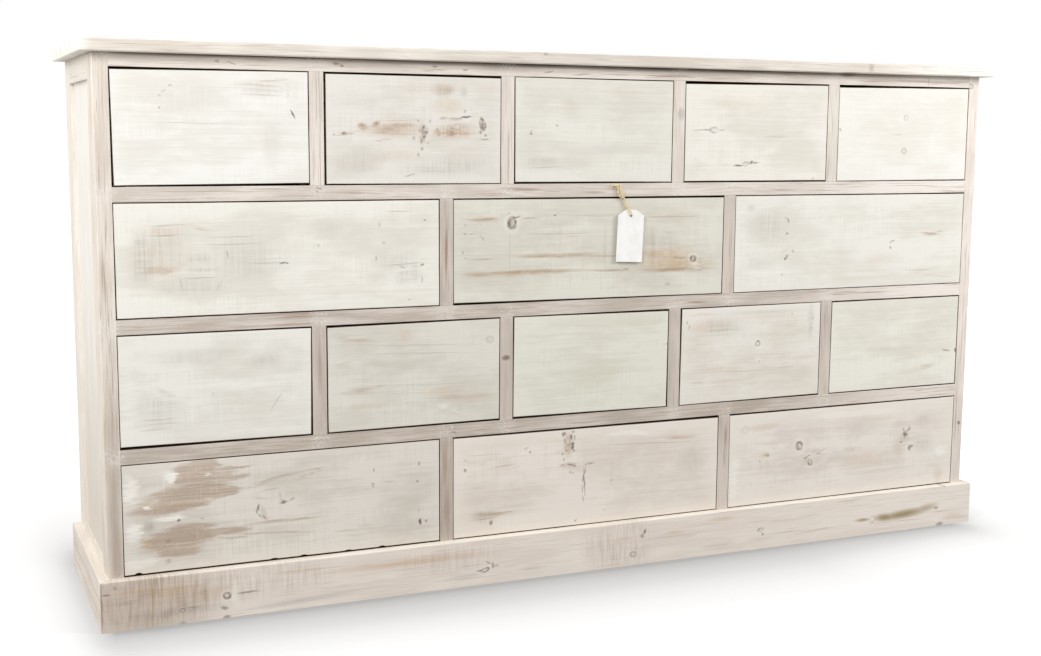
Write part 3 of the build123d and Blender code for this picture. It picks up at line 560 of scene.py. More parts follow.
# Drawer fronts: sixteen sawn pine boards of 18 mm, hand planed, brushed with thin white wash and rubbed back,
# so that grain, knots and bare wood show through. No handles. Each is dovetailed to the sides of its box.
FRONTS = {
    "1_1": {
        "wash": ("F6F4EE", "EAE6DD"),
        "rub_and_shadow": [(-530, 705, 20, 55, 0, 0.18), (-545, 785, 45, 18, 0, 0.3), (-640, 770, 90, 30, 0, 0.15)],
        "streak": [
            (-550, 790, 45, 2.2, -3, 0.32), (-545, 783, 40, 1.9, -2, 0.27), (-545, 776, 40, 1.6, -2, 0.23),
            (-525, 797, 22, 2.7, 4, 0.36), (-508, 781, 22, 1.2, 101, 0.6), (-511, 799, 4, 4.1, 0, 0.32),
        ],
        "lines": [(-640, 735, 85, 1.0, 0, 0.4)],
        "dots": [
            (-675, 788, 3, 2.5, 20, 0.3), (-685, 780, 6, 1.6, 40, 0.25), (-690, 773, 2.5, 3, 0, 0.25),
            (-691, 756, 2, 3, 0, 0.3),
        ],
        "cracks": [(-498.5, 749, 10.5, 1.7, 117, 0.75)],
    },
    "1_2": {
        "margin": (12, 0.5),
        "wash": ("EBE7DF", "DED7CD"),
        "warm": [
            (-345, 728, 75, 18, 0, 0.55), (-255, 765, 45, 20, 0, 0.35), (-265, 790, 24, 14, 0, 0.4),
            (-245, 724, 50, 14, 0, 0.6), (-330, 690, 60, 14, 0, 0.25),
        ],
        "rub_and_shadow": [
            (-260, 672, 110, 24, 0, 0.4), (-228, 787, 8, 14, 0, 0.4), (-262, 787, 22, 16, 0, 0.5),
            (-400, 680, 60, 30, 0, 0.25), (-400, 770, 60, 20, 0, 0.2),
        ],
        "blots": [
            (-391, 732, 11, 8, -30, 0.8), (-371, 736, 12, 6, 30, 0.65), (-352, 730, 14, 8, 0, 0.35),
            (-420, 721, 9, 4, 10, 0.5), (-250, 724, 9, 7, 0, 0.7), (-270, 724, 5, 8, 0, 0.5),
            (-230, 724, 14, 4, 0, 0.45), (-262, 746, 10, 4, 0, 0.4), (-296, 722, 8, 24, 0, 0.55),
            (-330, 735, 30, 5, 0, 0.4), (-240, 733, 40, 10, 0, 0.35), (-197, 735, 7, 14, 15, 0.5),
            (-255, 790, 20, 10.0, 0, 0.2),
        ],
        "streak": [
            (-415, 722, 26, 3.4, 8, 0.54), (-350, 728, 40, 10.8, 0, 0.41), (-330, 742, 40, 1.6, 2, 0.36),
            (-345, 722, 50, 2.0, 0, 0.32), (-360, 712, 14, 4.1, 20, 0.32), (-250, 724, 12, 8.1, 0, 0.54),
            (-270, 724, 4, 8.1, 0, 0.41), (-235, 723, 40, 2.7, 0, 0.41), (-242, 745, 16, 4.1, -3, 0.63),
        ],
        "dots": [
            (-421, 722, 5, 3, 20, 0.5), (-436, 720, 3, 2, 0, 0.4), (-294, 733, 3.5, 3.5, 0, 0.6),
            (-291, 724, 4.5, 4, 0, 0.7), (-293, 717, 3, 3.5, 0, 0.6), (-298, 711, 2.5, 5, 0, 0.45),
            (-297, 699, 3.5, 4, 0, 0.45), (-303, 742, 2.5, 3, 0, 0.4), (-225, 748, 14, 2.2, 6, 0.8),
            (-226, 757, 2.5, 3.5, 0, 0.4), (-198, 745, 6, 3, -60, 0.8), (-197, 736, 7, 3, 100, 0.9),
            (-192, 720, 4, 3, 0, 0.5), (-193, 714, 9, 2, 0, 0.5), (-318, 659, 10, 2, 18, 0.35),
            (-311, 661, 3, 3, 0, 0.3), (-284, 741, 2.5, 3, 0, 0.4), (-287, 708, 2.5, 3, 0, 0.4),
            (-301, 727, 2, 4, 0, 0.5), (-272, 729, 2.5, 3, 0, 0.4), (-262, 722, 2.5, 2.5, 0, 0.4),
            (-247, 731, 2.5, 2, 0, 0.4), (-200, 725, 3, 5, 20, 0.7), (-303, 690, 3, 4, 0, 0.35),
            (-310, 715, 3, 5, 0, 0.3),
        ],
        "knots": [(-197, 738, 6, 12, 12, 0.6), (-292, 726, 6, 9, 0, 0.4)],
    },
    "1_3": {
        "wash": ("ECE9E0", "DFDBD0"),
        "warm": [(50, 790, 40, 14, 0, 0.2), (-45, 768, 25, 16, 0, 0.2)],
        "rub_and_shadow": [(-95, 680, 36, 10, 0, 0.4)],
        "lines": [(-85, 671, 40, 1.2, 0, 0.4), (40, 700, 100, 12, 0, 0.12)],
        "dots": [(-114, 724, 2.4, 4, 15, 0.65), (-113, 728, 3, 1.5, 0, 0.35), (-69, 737, 2.6, 1.8, 0, 0.55)],
    },
    "1_4": {
        "wash": ("F2EEE5", "E5E0D4"),
        "warm": [(280, 779, 110, 11, 0, 0.15), (425, 650, 6, 4, 0, 0.35), (245, 673, 22, 1.5, 0, 0.35)],
        "lines": [
            (345, 722, 32, 3, 2, 0.3), (193, 732, 20, 1.4, 0, 0.6), (270, 673, 14, 2, 3, 0.6),
            (306, 677, 12, 1.5, 4, 0.5),
        ],
        "white": [(286, 674, 4, 4, 0, 0.9)],
        "dots": [
            (208, 732, 11, 1.7, 0, 0.5), (237, 732, 8, 1.8, -4, 0.5), (272, 672.5, 12, 2, 2, 0.75),
            (297, 678, 6, 3.5, 30, 0.8), (304, 677, 8, 1.6, -8, 0.5),
        ],
        "knots": [(222, 732, 10, 6, 0, 0.45), (286, 675, 7, 5, 10, 0.4)],
    },
    "1_5": {
        "wash": ("F6F3EC", "EDE9DF"),
        "lines": [(605, 727, 16, 1.0, 0, 0.4)],
        "dots": [(478, 735, 2.5, 4.5, 20, 0.35)],
        "knots": [(620, 757, 6.5, 6, 0, 0.3), (618, 698, 6.5, 6.5, 0, 0.35)],
    },
    "2_1": {
        "wash": ("F2EFE6", "E5E0D5"),
        "warm": [
            (-690, 580, 44, 12, 0, 0.35), (-655, 588, 34, 5, 2, 0.3), (-695, 525, 40, 14, 0, 0.4),
            (-700, 545, 60, 60, 0, 0.15),
        ],
        "rub_and_shadow": [
            (-640, 540, 40, 12, 0, 0.45), (-630, 524, 50, 5, 0, 0.5), (-690, 560, 60, 50, 0, 0.3),
            (-320, 505, 40, 22, 0, 0.4), (-365, 505, 30, 22, 0, 0.25), (-310, 515, 20, 20, 0, 0.35),
            (-560, 540, 120, 50, 0, 0.35), (-650, 500, 80, 20, 0, 0.35), (-720, 545, 25, 60, 0, 0.5),
            (-340, 530, 60, 40, 0, 0.35), (-450, 580, 100, 24, 0, 0.2),
        ],
        "streak": [
            (-680, 589, 44, 2.0, 2, 0.36), (-690, 574, 40, 1.9, 0, 0.41), (-630, 583, 20, 2.7, -12, 0.32),
            (-700, 525, 30, 8.1, 0, 0.24), (-670, 530, 16, 10.8, 20, 0.24), (-685, 523, 10, 6.8, 0, 0.3),
        ],
        "lines": [
            (-640, 512, 40, 1.4, 0, 0.4), (-590, 560, 60, 1.2, 0, 0.4), (-590, 571, 60, 1.2, 0, 0.35),
            (-540, 531, 40, 1.2, 0, 0.4), (-335, 605, 32, 1.2, 0, 0.4), (-330, 523, 50, 1.5, 2, 0.45),
            (-612, 500, 18, 1.0, 58, 0.3), (-667, 505, 16, 1.0, 100, 0.35),
        ],
        "white": [(-480, 500, 60, 50, 0, 0.3)],
        "dots": [
            (-516, 530, 10, 1.8, 4, 0.7), (-510, 530, 3, 1.8, 0, 0.8), (-599, 545, 1.8, 9, 5, 0.4),
            (-293, 590.5, 4, 1.6, -6, 0.75), (-297, 521, 4, 3, 0, 0.6), (-330, 518, 7, 1.5, -20, 0.4),
            (-372, 533, 2, 5, -10, 0.45), (-366, 585, 1.8, 5, 0, 0.35), (-359, 556, 3, 4, 0, 0.25),
            (-297, 498, 2, 8, 0, 0.35), (-462, 555, 2, 3, 0, 0.3), (-318, 468, 3, 2, 0, 0.35),
        ],
    },
    "2_2": {
        "wash": ("E4E1D5", "D6D1C4"),
        "warm": [
            (155, 512, 70, 22, -2, 0.5), (110, 532, 40, 10, -3, 0.3), (40, 527, 30, 5, 0, 0.3),
            (-150, 503, 80, 6, 0, 0.3), (-185, 590, 24, 4, 0, 0.3), (140, 522, 75, 30, 0, 0.6),
        ],
        # Of the grey marks below, those at x 20, 106 and 135 are the painted shadow of the tag; the others are rubbed
        # patches.
        "rub_and_shadow": [
            (135, 545, 40, 24, -10, 0.4), (20, 540, 5, 60, 0, 0.3), (138, 475, 9, 5, 0, 0.6),
            (130, 489, 5, 3, 0, 0.45), (106, 545, 22, 42, 0, 0.5),
        ],
        "gold": [
            (-120, 503, 140, 7, 0, 0.5), (-60, 529, 115, 6, -1, 0.35), (150, 508, 90, 15, 0, 0.55),
            (110, 528, 70, 9, 0, 0.4), (-205, 590, 40, 4, 0, 0.5), (130, 589, 85, 3, 0, 0.35),
        ],
        "blots": [(-147, 584, 7, 9, 0, 0.6)],
        "streak": [
            (-130, 505, 130, 3.2, 0.3, 0.75), (-205, 503, 30, 6.8, 0, 0.54), (30, 502, 60, 3.4, -1, 0.54),
            (150, 500, 90, 5.4, -1, 0.63), (180, 500, 50, 8.1, 0, 0.45), (-95, 529, 60, 4.7, 0, 0.54),
            (-55, 528, 14, 4.1, 0, 0.54), (20, 526, 60, 2.4, -1, 0.45), (-200, 527, 35, 2.7, 0, 0.45),
            (150, 520, 80, 3.0, -1, 0.54), (-185, 590, 20, 3.0, 0, 0.63), (-115, 590, 22, 2.2, 0, 0.45),
            (160, 588, 60, 1.6, -0.5, 0.5), (-45, 559, 24, 2.7, 0, 0.27), (145, 562, 14, 2.0, 0, 0.36),
            (-110, 504, 125, 4.7, 0, 0.54), (-60, 530, 85, 4.1, -2, 0.41), (150, 500, 85, 5.4, 2, 0.63),
            (150, 520, 80, 3.4, -2, 0.45), (-190, 588, 30, 4.1, 0, 0.36),
        ],
        "lines": [
            (-60, 564, 80, 1.2, -0.5, 0.5), (0, 592, 60, 1.0, 0, 0.4), (-150, 540, 1.2, 60, 0, 0.25),
            (-62, 560, 1.2, 40, 0, 0.2),
        ],
        "white": [(190, 505, 12, 9, 0, 0.35), (-200, 470, 60, 14, 0, 0.2)],
        "dots": [
            (-71, 594, 4.5, 1.8, -20, 0.6), (-66, 597, 4, 1.2, 20, 0.4), (-225, 581, 3, 1.4, 0, 0.5),
            (-226, 567, 4, 1.6, 0, 0.5), (-215, 567, 10, 1.0, 2, 0.35), (-197, 560, 8, 1.4, -50, 0.35),
            (-225, 528, 4, 1.2, 0, 0.45), (-230, 538, 2, 4, 0, 0.35), (60, 503, 9, 2, 0, 0.4),
            (200, 497, 8, 1.2, -8, 0.3), (-138, 592, 9, 2, 10, 0.7), (-152, 598, 7, 1.4, 20, 0.35),
            (-151, 581, 5.5, 8, 0, 0.55), (188, 517, 4, 4.5, 0, 0.4),
        ],
        "knots": [(-146, 583, 8.6, 10.8, 0, 0.95), (187, 517, 6.3, 6.12, 0, 1.04)],
    },
    "2_3": {
        "wash": ("F0EDE5", "E4E0D5"),
        "warm": [
            (580, 505, 60, 20, 0, 0.2), (520, 470, 120, 12, 2, 0.15), (372, 526, 14, 2, 25, 0.45),
            (690, 549, 30, 4, 0, 0.3),
        ],
        "rub_and_shadow": [(335, 570, 60, 46, 0, 0.35), (320, 505, 50, 20, 0, 0.3), (300, 600, 14, 12, 0, 0.3)],
        "streak": [
            (680, 548, 24, 4.1, -4, 0.63), (700, 552, 20, 2.7, 10, 0.36), (670, 483, 40, 1.9, 0, 0.32),
            (700, 472, 40, 2.0, -8, 0.27),
        ],
        "white": [(330, 487, 40, 8, -4, 0.4), (330, 603, 30, 5, 4, 0.35)],
        "dots": [
            (376, 578, 3, 6, 15, 0.5), (371, 583, 3, 2, 0, 0.35), (375, 555, 4, 2.4, 0, 0.5),
            (372, 512, 6, 3.5, 45, 0.7), (376, 516, 4, 3, 0, 0.5), (388, 524, 3, 5, 30, 0.35),
            (366, 484, 3, 3, 0, 0.3), (597, 525, 3.5, 4, 30, 0.45), (602, 537, 8, 2, 15, 0.4),
            (597, 535, 4, 2, 30, 0.35),
        ],
    },
    "3_1": {
        "wash": ("EEEBE3", "E1DDD3"),
        "rub_and_shadow": [
            (-700, 325, 50, 26, 0, 0.4), (-690, 343, 30, 8, -30, 0.3), (-650, 400, 110, 14, 0, 0.25),
            (-550, 385, 40, 16, 0, 0.3), (-700, 306, 46, 26, 0, 0.35), (-650, 395, 90, 20, 0, 0.25),
        ],
        "lines": [(-700, 300, 44, 1.56, 0, 0.3), (-705, 307, 40, 1.43, 0, 0.27), (-710, 292, 30, 1.56, 0, 0.27)],
        "white": [(-590, 350, 60, 12, 0, 0.35), (-600, 285, 100, 14, 0, 0.3), (-745, 340, 14, 60, 0, 0.3)],
        "dots": [(-624, 339, 1.5, 4, 0, 0.25)],
        "cracks": [(-530, 322, 24, 1.1, 56, 0.3)],
    },
    "3_2": {
        "wash": ("E2DED3", "D4CEC2"),
        "warm": [
            (-325, 410, 20, 16, 0, 0.3), (-260, 320, 60, 12, 0, 0.25), (-220, 305, 60, 8, 0, 0.3),
            (-380, 305, 50, 8, 0, 0.2),
        ],
        "streak": [
            (-400, 329, 34, 9.7, 4, 0.32), (-420, 326, 20, 4.9, 0, 0.27), (-370, 333, 20, 3.6, 4, 0.22),
            (-395, 407, 32, 4.9, 0, 0.32), (-420, 411, 14, 12.2, 0, 0.19), (-250, 310, 40, 6.1, 0, 0.27),
            (-200, 309, 40, 4.9, 0, 0.24), (-430, 372, 16, 7.3, 10, 0.16),
        ],
        "lines": [
            (-310, 396, 150, 0.9, -2.6, 0.36), (-310, 383, 150, 0.9, -2.6, 0.3), (-310, 333, 150, 0.9, -2.6, 0.28),
            (-310, 320, 150, 0.8, -2.5, 0.17), (-250, 308, 90, 0.9, -2.5, 0.19),
        ],
        "white": [(-260, 297, 12, 6, 0, 0.3), (-238, 288, 18, 3, -40, 0.25)],
        "knots": [(-183, 398, 7, 7, 0, 0.2)],
    },
    "3_3": {
        "wash": ("E6E4D7", "DAD7C8"),
        "lines": [
            (-60, 400, 70, 1.2, 2, 0.15), (30, 388, 100, 1.5, -1, 0.12), (40, 330, 110, 3.0, 1, 0.1),
            (0, 300, 120, 2.0, 2, 0.12),
        ],
        "dots": [(141, 374, 4, 2, 0, 0.6)],
    },
    "3_4": {
        "margin": (18, 0.6),
        "wash": ("ECE7DE", "DDD6CA"),
        "warm": [
            (225, 400, 60, 16, 0, 0.35), (210, 420, 40, 4, 0, 0.3), (260, 302, 60, 6, 0, 0.35),
            (240, 325, 60, 8, 0, 0.3), (340, 412, 90, 8, 0, 0.2), (420, 335, 50, 8, 4, 0.25),
        ],
        "rub_and_shadow": [
            (250, 400, 70, 24, 0, 0.25), (250, 395, 60, 25, 0, 0.4), (330, 420, 130, 6, 0, 0.35),
            (430, 400, 8, 50, 0, 0.4),
        ],
        "streak": [
            (300, 318, 150, 1.2, -0.8, 0.5), (380, 320, 20, 1.6, -4, 0.45), (240, 392, 50, 1.4, 0, 0.36),
            (230, 384, 50, 1.4, 0, 0.32), (440, 351, 14, 1.4, 15, 0.32), (205, 303, 12, 4.1, 0, 0.36),
        ],
        "white": [(320, 335, 5, 5, 0, 0.8)],
        "dots": [
            (324, 334, 3, 3, 0, 0.3), (183, 400, 2, 6, 0, 0.4), (432, 387, 4, 1.5, 0, 0.35),
            (435, 405, 1.5, 8, 0, 0.3), (390, 414, 3, 2, 0, 0.3), (179, 408, 3, 5, 0, 0.3),
        ],
        "knots": [(321, 365, 6, 6, 0, 1.0)],
    },
    "3_5": {
        "wash": ("EDEADF", "E0DCCF"),
        "rub_and_shadow": [(600, 340, 70, 6, 0, 0.3)],
        "streak": [(692, 303, 24, 8.1, 0, 0.27)],
        "white": [(741, 331, 3.5, 4, 0, 0.8)],
        "dots": [
            (738, 330, 10, 1.6, 0, 0.6), (757, 330, 4, 6, 0, 0.8), (733, 331, 9, 2.4, 4, 0.6),
            (728, 332, 4, 2, 0, 0.4),
        ],
    },
    "4_1": {
        "margin": (12, 0.6),
        "wash": ("E3DDD3", "D3CBC0"),
        "rub_and_shadow": [(-340, 120, 60, 20, 0, 0.3), (-310, 150, 40, 12, 0, 0.25), (-722, 150, 16, 18, 0, 0.6)],
        "bare": [
            (-655, 222, 45, 20, 0, 1.0), (-660, 195, 75, 16, 3, 1.0), (-690, 176, 75, 13, 4, 1.0),
            (-640, 236, 30, 9, 0, 0.9), (-600, 226, 40, 4, -2, 0.7), (-600, 210, 36, 5, 8, 0.7),
            (-610, 190, 30, 10, 10, 0.85), (-672, 128, 58, 20, 0, 1.0), (-700, 122, 36, 15, 0, 1.0),
            (-680, 105, 42, 8, 0, 0.9), (-610, 130, 50, 6, -1, 0.8), (-600, 119, 30, 3, -2, 0.65),
            (-696, 93, 5, 5, 0, 0.7), (-660, 142, 40, 8, 0, 0.85), (-640, 214, 60, 10, 8, 0.7),
        ],
        "gold": [
            (-680, 178, 40, 6, 2, 0.4), (-725, 185, 14, 7, 20, 0.5), (-715, 110, 30, 5, 0, 0.4),
            (-660, 112, 30, 4, 0, 0.3), (-728, 124, 10, 12, 0, 0.6), (-690, 177, 34, 6, 0, 0.4),
        ],
        "blots": [(-523, 167, 8, 6, 0, 0.5), (-552, 152, 7, 16, 20, 0.35)],
        "streak": [
            (-590, 226, 30, 2.0, -2, 0.36), (-480, 205, 40, 1.6, 18, 0.45), (-470, 213, 14, 2.7, 10, 0.45),
            (-560, 175, 30, 1.6, -6, 0.32), (-540, 187, 24, 1.6, 8, 0.32), (-520, 136, 90, 1.6, -0.5, 0.5),
            (-490, 137, 50, 3.0, -1, 0.45), (-520, 118, 80, 1.9, -5, 0.36), (-420, 110, 20, 2.2, 0, 0.41),
            (-363, 182, 12, 1.6, -3, 0.36), (-520, 206, 72, 2.4, 9, 0.45), (-560, 197, 60, 2.4, 13, 0.36),
            (-540, 137, 62, 3.5, 2, 0.45), (-555, 121, 60, 2.4, -4, 0.41), (-600, 131, 30, 6.8, 0, 0.36),
        ],
        "lines": [
            (-560, 163, 7, 2.2, 70, 0.7), (-563, 156, 6, 2, 95, 0.75), (-558, 148, 7, 1.8, -50, 0.6),
            (-550, 142, 8, 1.5, -30, 0.5), (-526, 177, 1.5, 8, 10, 0.4),
        ],
        "white": [
            (-690, 222, 13, 9, 0, 0.95), (-686, 215, 7, 6, 0, 0.9), (-722, 178, 6, 5, 0, 0.7),
            (-690, 158, 35, 5, 0, 0.85), (-748, 205, 14, 30, 0, 0.7), (-745, 140, 16, 20, 0, 0.6),
            (-735, 95, 30, 12, 0, 0.4), (-638, 220, 5, 3, 0, 0.6),
        ],
        "dots": [
            (-679, 154, 4, 2.5, 20, 0.7), (-645, 153, 5, 1.5, -20, 0.35), (-519, 167, 5.5, 2.2, 0, 0.65),
            (-378, 203, 2, 5, 10, 0.55), (-379, 181, 5, 1.4, 0, 0.5), (-379, 177, 2, 4, 0, 0.45),
            (-303, 206, 2.5, 5, 0, 0.5), (-306, 178, 4, 3, 0, 0.55), (-302, 112, 4, 8, 0, 0.8),
            (-292, 112, 3, 4, 0, 0.5), (-304, 130, 1.5, 6, 0, 0.25), (-695, 124, 6, 3, 0, 0.3),
            (-521, 165, 5, 3, 0, 0.7), (-509, 169, 8, 3, 30, 0.35), (-560, 160, 2.5, 8, -15, 0.6),
            (-552, 146, 7, 2, -40, 0.5),
        ],
    },
    "4_2": {
        "margin": (22, 0.75),
        "wash": ("ECE4DA", "DCD1C5"),
        "rub_and_shadow": [
            (-190, 105, 26, 14, 0, 0.45), (190, 170, 50, 30, 0, 0.3), (60, 165, 120, 30, 0, 0.15),
            (-190, 113, 34, 9, 0, 0.6),
        ],
        "blots": [(-42, 215, 12, 30, 0, 0.45), (-40, 180, 26, 8, 0, 0.4)],
        "streak": [
            (-170, 112, 40, 3.5, -3, 0.72), (-195, 113, 16, 4.1, 0, 0.45), (-150, 111, 22, 3.0, -6, 0.72),
            (-162, 189, 24, 2.2, 3, 0.54), (-135, 186, 5, 1.5, -40, 0.35), (180, 212, 34, 3.4, -1, 0.5),
            (185, 209, 36, 1.9, -1, 0.36), (-175, 111, 42, 5.4, -3, 0.68), (-190, 106, 30, 4.1, 0, 0.45),
            (165, 212, 32, 5.4, 0, 0.45), (-160, 190, 25, 2.7, 0, 0.36),
        ],
        "lines": [(110, 205, 145, 0.9, -2.4, 0.5), (-190, 211, 40, 0.9, -2, 0.35)],
        "white": [(70, 225, 60, 6, -2, 0.5), (-120, 207, 100, 1.5, -2, 0.25)],
        "dots": [
            (-49, 234, 3, 5, 0, 0.6), (-52, 233, 4, 2, 0, 0.4), (-49, 222, 2, 7, 0, 0.45),
            (-34, 236, 4, 2.5, 0, 0.5), (-31, 226, 2, 8, 0, 0.4), (-34, 210, 4, 6, 0, 0.7), (-32, 204, 3, 3, 0, 0.5),
            (-46, 205, 3, 3, 0, 0.4), (-50, 191, 3, 4, 0, 0.45), (-53, 181, 6, 2, 20, 0.45),
            (-38, 181, 9, 2, -8, 0.6), (-31, 178, 4, 2.5, 0, 0.6), (-38, 169, 3, 4, 0, 0.4),
            (-33, 166, 3, 2, 0, 0.4), (2, 180.5, 7, 1.4, -3, 0.55), (-179, 98, 2.6, 6, 0, 0.6),
            (-112, 208, 2.5, 3, 0, 0.65), (-118, 215, 6, 2, 25, 0.3), (-225, 188, 3, 3.5, 0, 0.5),
            (-225, 204, 3, 2, -30, 0.35), (-27, 85, 4, 1.8, 20, 0.5), (26, 98, 3, 1.5, 0, 0.35),
            (38, 148, 2.5, 3, 20, 0.3), (-52, 233, 3, 6, 0, 0.6), (-37, 228, 4, 6, 0, 0.6), (-34, 216, 4, 5, 0, 0.7),
            (-52, 200, 3, 3, 0, 0.5), (-12, 150, 2.4, 34, 4, 0.5), (-2, 180, 14, 1.8, 0, 0.4),
            (-180, 97, 4, 6, 0, 0.6),
        ],
        "cracks": [
            (-9.5, 178, 4, 1.2, 70, 0.5), (-11, 168, 8, 1.5, 85, 0.5), (-14, 155, 9, 1.4, 78, 0.55),
            (-15.5, 138, 12, 1.3, 92, 0.5), (-14, 122, 8, 1.3, 98, 0.55),
        ],
    },
    "4_3": {
        "margin": (26, 0.85),
        "wash": ("EBE4DB", "DBD2C7"),
        "warm": [
            (340, 215, 45, 9, 2, 0.5), (330, 217, 30, 5, 0, 0.4), (350, 185, 50, 3, 0, 0.3),
            (335, 165, 30, 12, 0, 0.25), (560, 140, 90, 26, 0, 0.3), (635, 150, 22, 26, 0, 0.35),
            (730, 95, 14, 22, 0, 0.35), (590, 212, 60, 6, -2, 0.25), (465, 163, 12, 3, 20, 0.5),
        ],
        "rub_and_shadow": [(690, 160, 36, 30, 0, 0.4), (690, 200, 30, 20, 0, 0.25), (560, 200, 70, 20, 0, 0.25)],
        "blots": [
            (648, 172, 16, 14, 0, 0.35), (412, 173, 12, 9, 0, 0.3), (432, 147, 12, 9, 0, 0.3),
            (450, 163, 14, 5, 0, 0.3), (530, 160, 30, 6, 0, 0.25), (345, 165, 10, 6, 0, 0.3),
        ],
        "white": [(280, 130, 12, 50, 0, 0.5), (735, 140, 18, 14, 0, 0.5), (530, 225, 120, 8, 0, 0.3)],
        "dots": [
            (437, 156, 4, 2, 20, 0.45), (651, 178, 5, 4, 0, 0.8), (652, 184, 6, 1.5, 30, 0.5),
            (645, 187, 2, 5, 15, 0.45), (657, 192, 2, 5, -30, 0.3), (640, 164, 5, 3, 20, 0.45),
            (665, 154, 5, 3.5, 20, 0.6), (662, 148, 2, 5, 0, 0.35), (349, 163, 4, 4, 0, 0.4),
            (333, 155, 3, 3, 0, 0.3), (457, 158, 6, 2, 0, 0.35), (648, 178, 6, 8, 0, 0.7), (657, 187, 8, 3, 45, 0.5),
            (660, 152, 5, 7, 0, 0.6), (412, 171, 6, 6, 0, 0.35), (436, 141, 4, 4, 0, 0.5),
            (430, 153, 8, 2, 10, 0.45),
        ],
        "knots": [(301, 213, 9, 8.0, 0, 0.15), (415, 176, 7.5, 9, 10, 0.75), (439, 143, 6.5, 6.5, 20, 0.6)],
    },
}
BARE_WOOD, BARE_DARK, WORN_WOOD, WARM_WASH, GOLD_WOOD = "CFC0B1", "B5A392", "B0977F", "D3BBA3", "C3AB88"
# The grey of rubbed patches also serves for the painted shadow of the tag on its drawer.
GREY_RUB_AND_SHADOW, GREY_LINE = "A9A398", "9B9186"
FRONT_ROUGH, FRONT_GLOSS = 0.85, 0.25
PLAIN_MARGIN = (14, 0.35)
FRONT_STEP = 0.02
FRONT_WANDER, FRONT_HOLLOW = 0.5 * MM, 0.25 * MM
EDGE_WAVES, HOLLOW_WAVES = 19, (6, 22)  # waves in a metre, along the edges and over the face
EDGE_REACH, EDGE_DEPTH = 0.012, 0.012
# Chips in the lower edge of the bottom row: x and depth in metres, half width, and the height they end at.
CHIPS = [(-0.739, 0.0022), (-0.537, 0.0012), (-0.491, 0.0014), (-0.420, 0.0011), (-0.365, 0.0016)]
CHIP_HALF, CHIP_TOP = 0.006, 0.085
SHARP_ANGLE = math.radians(32)


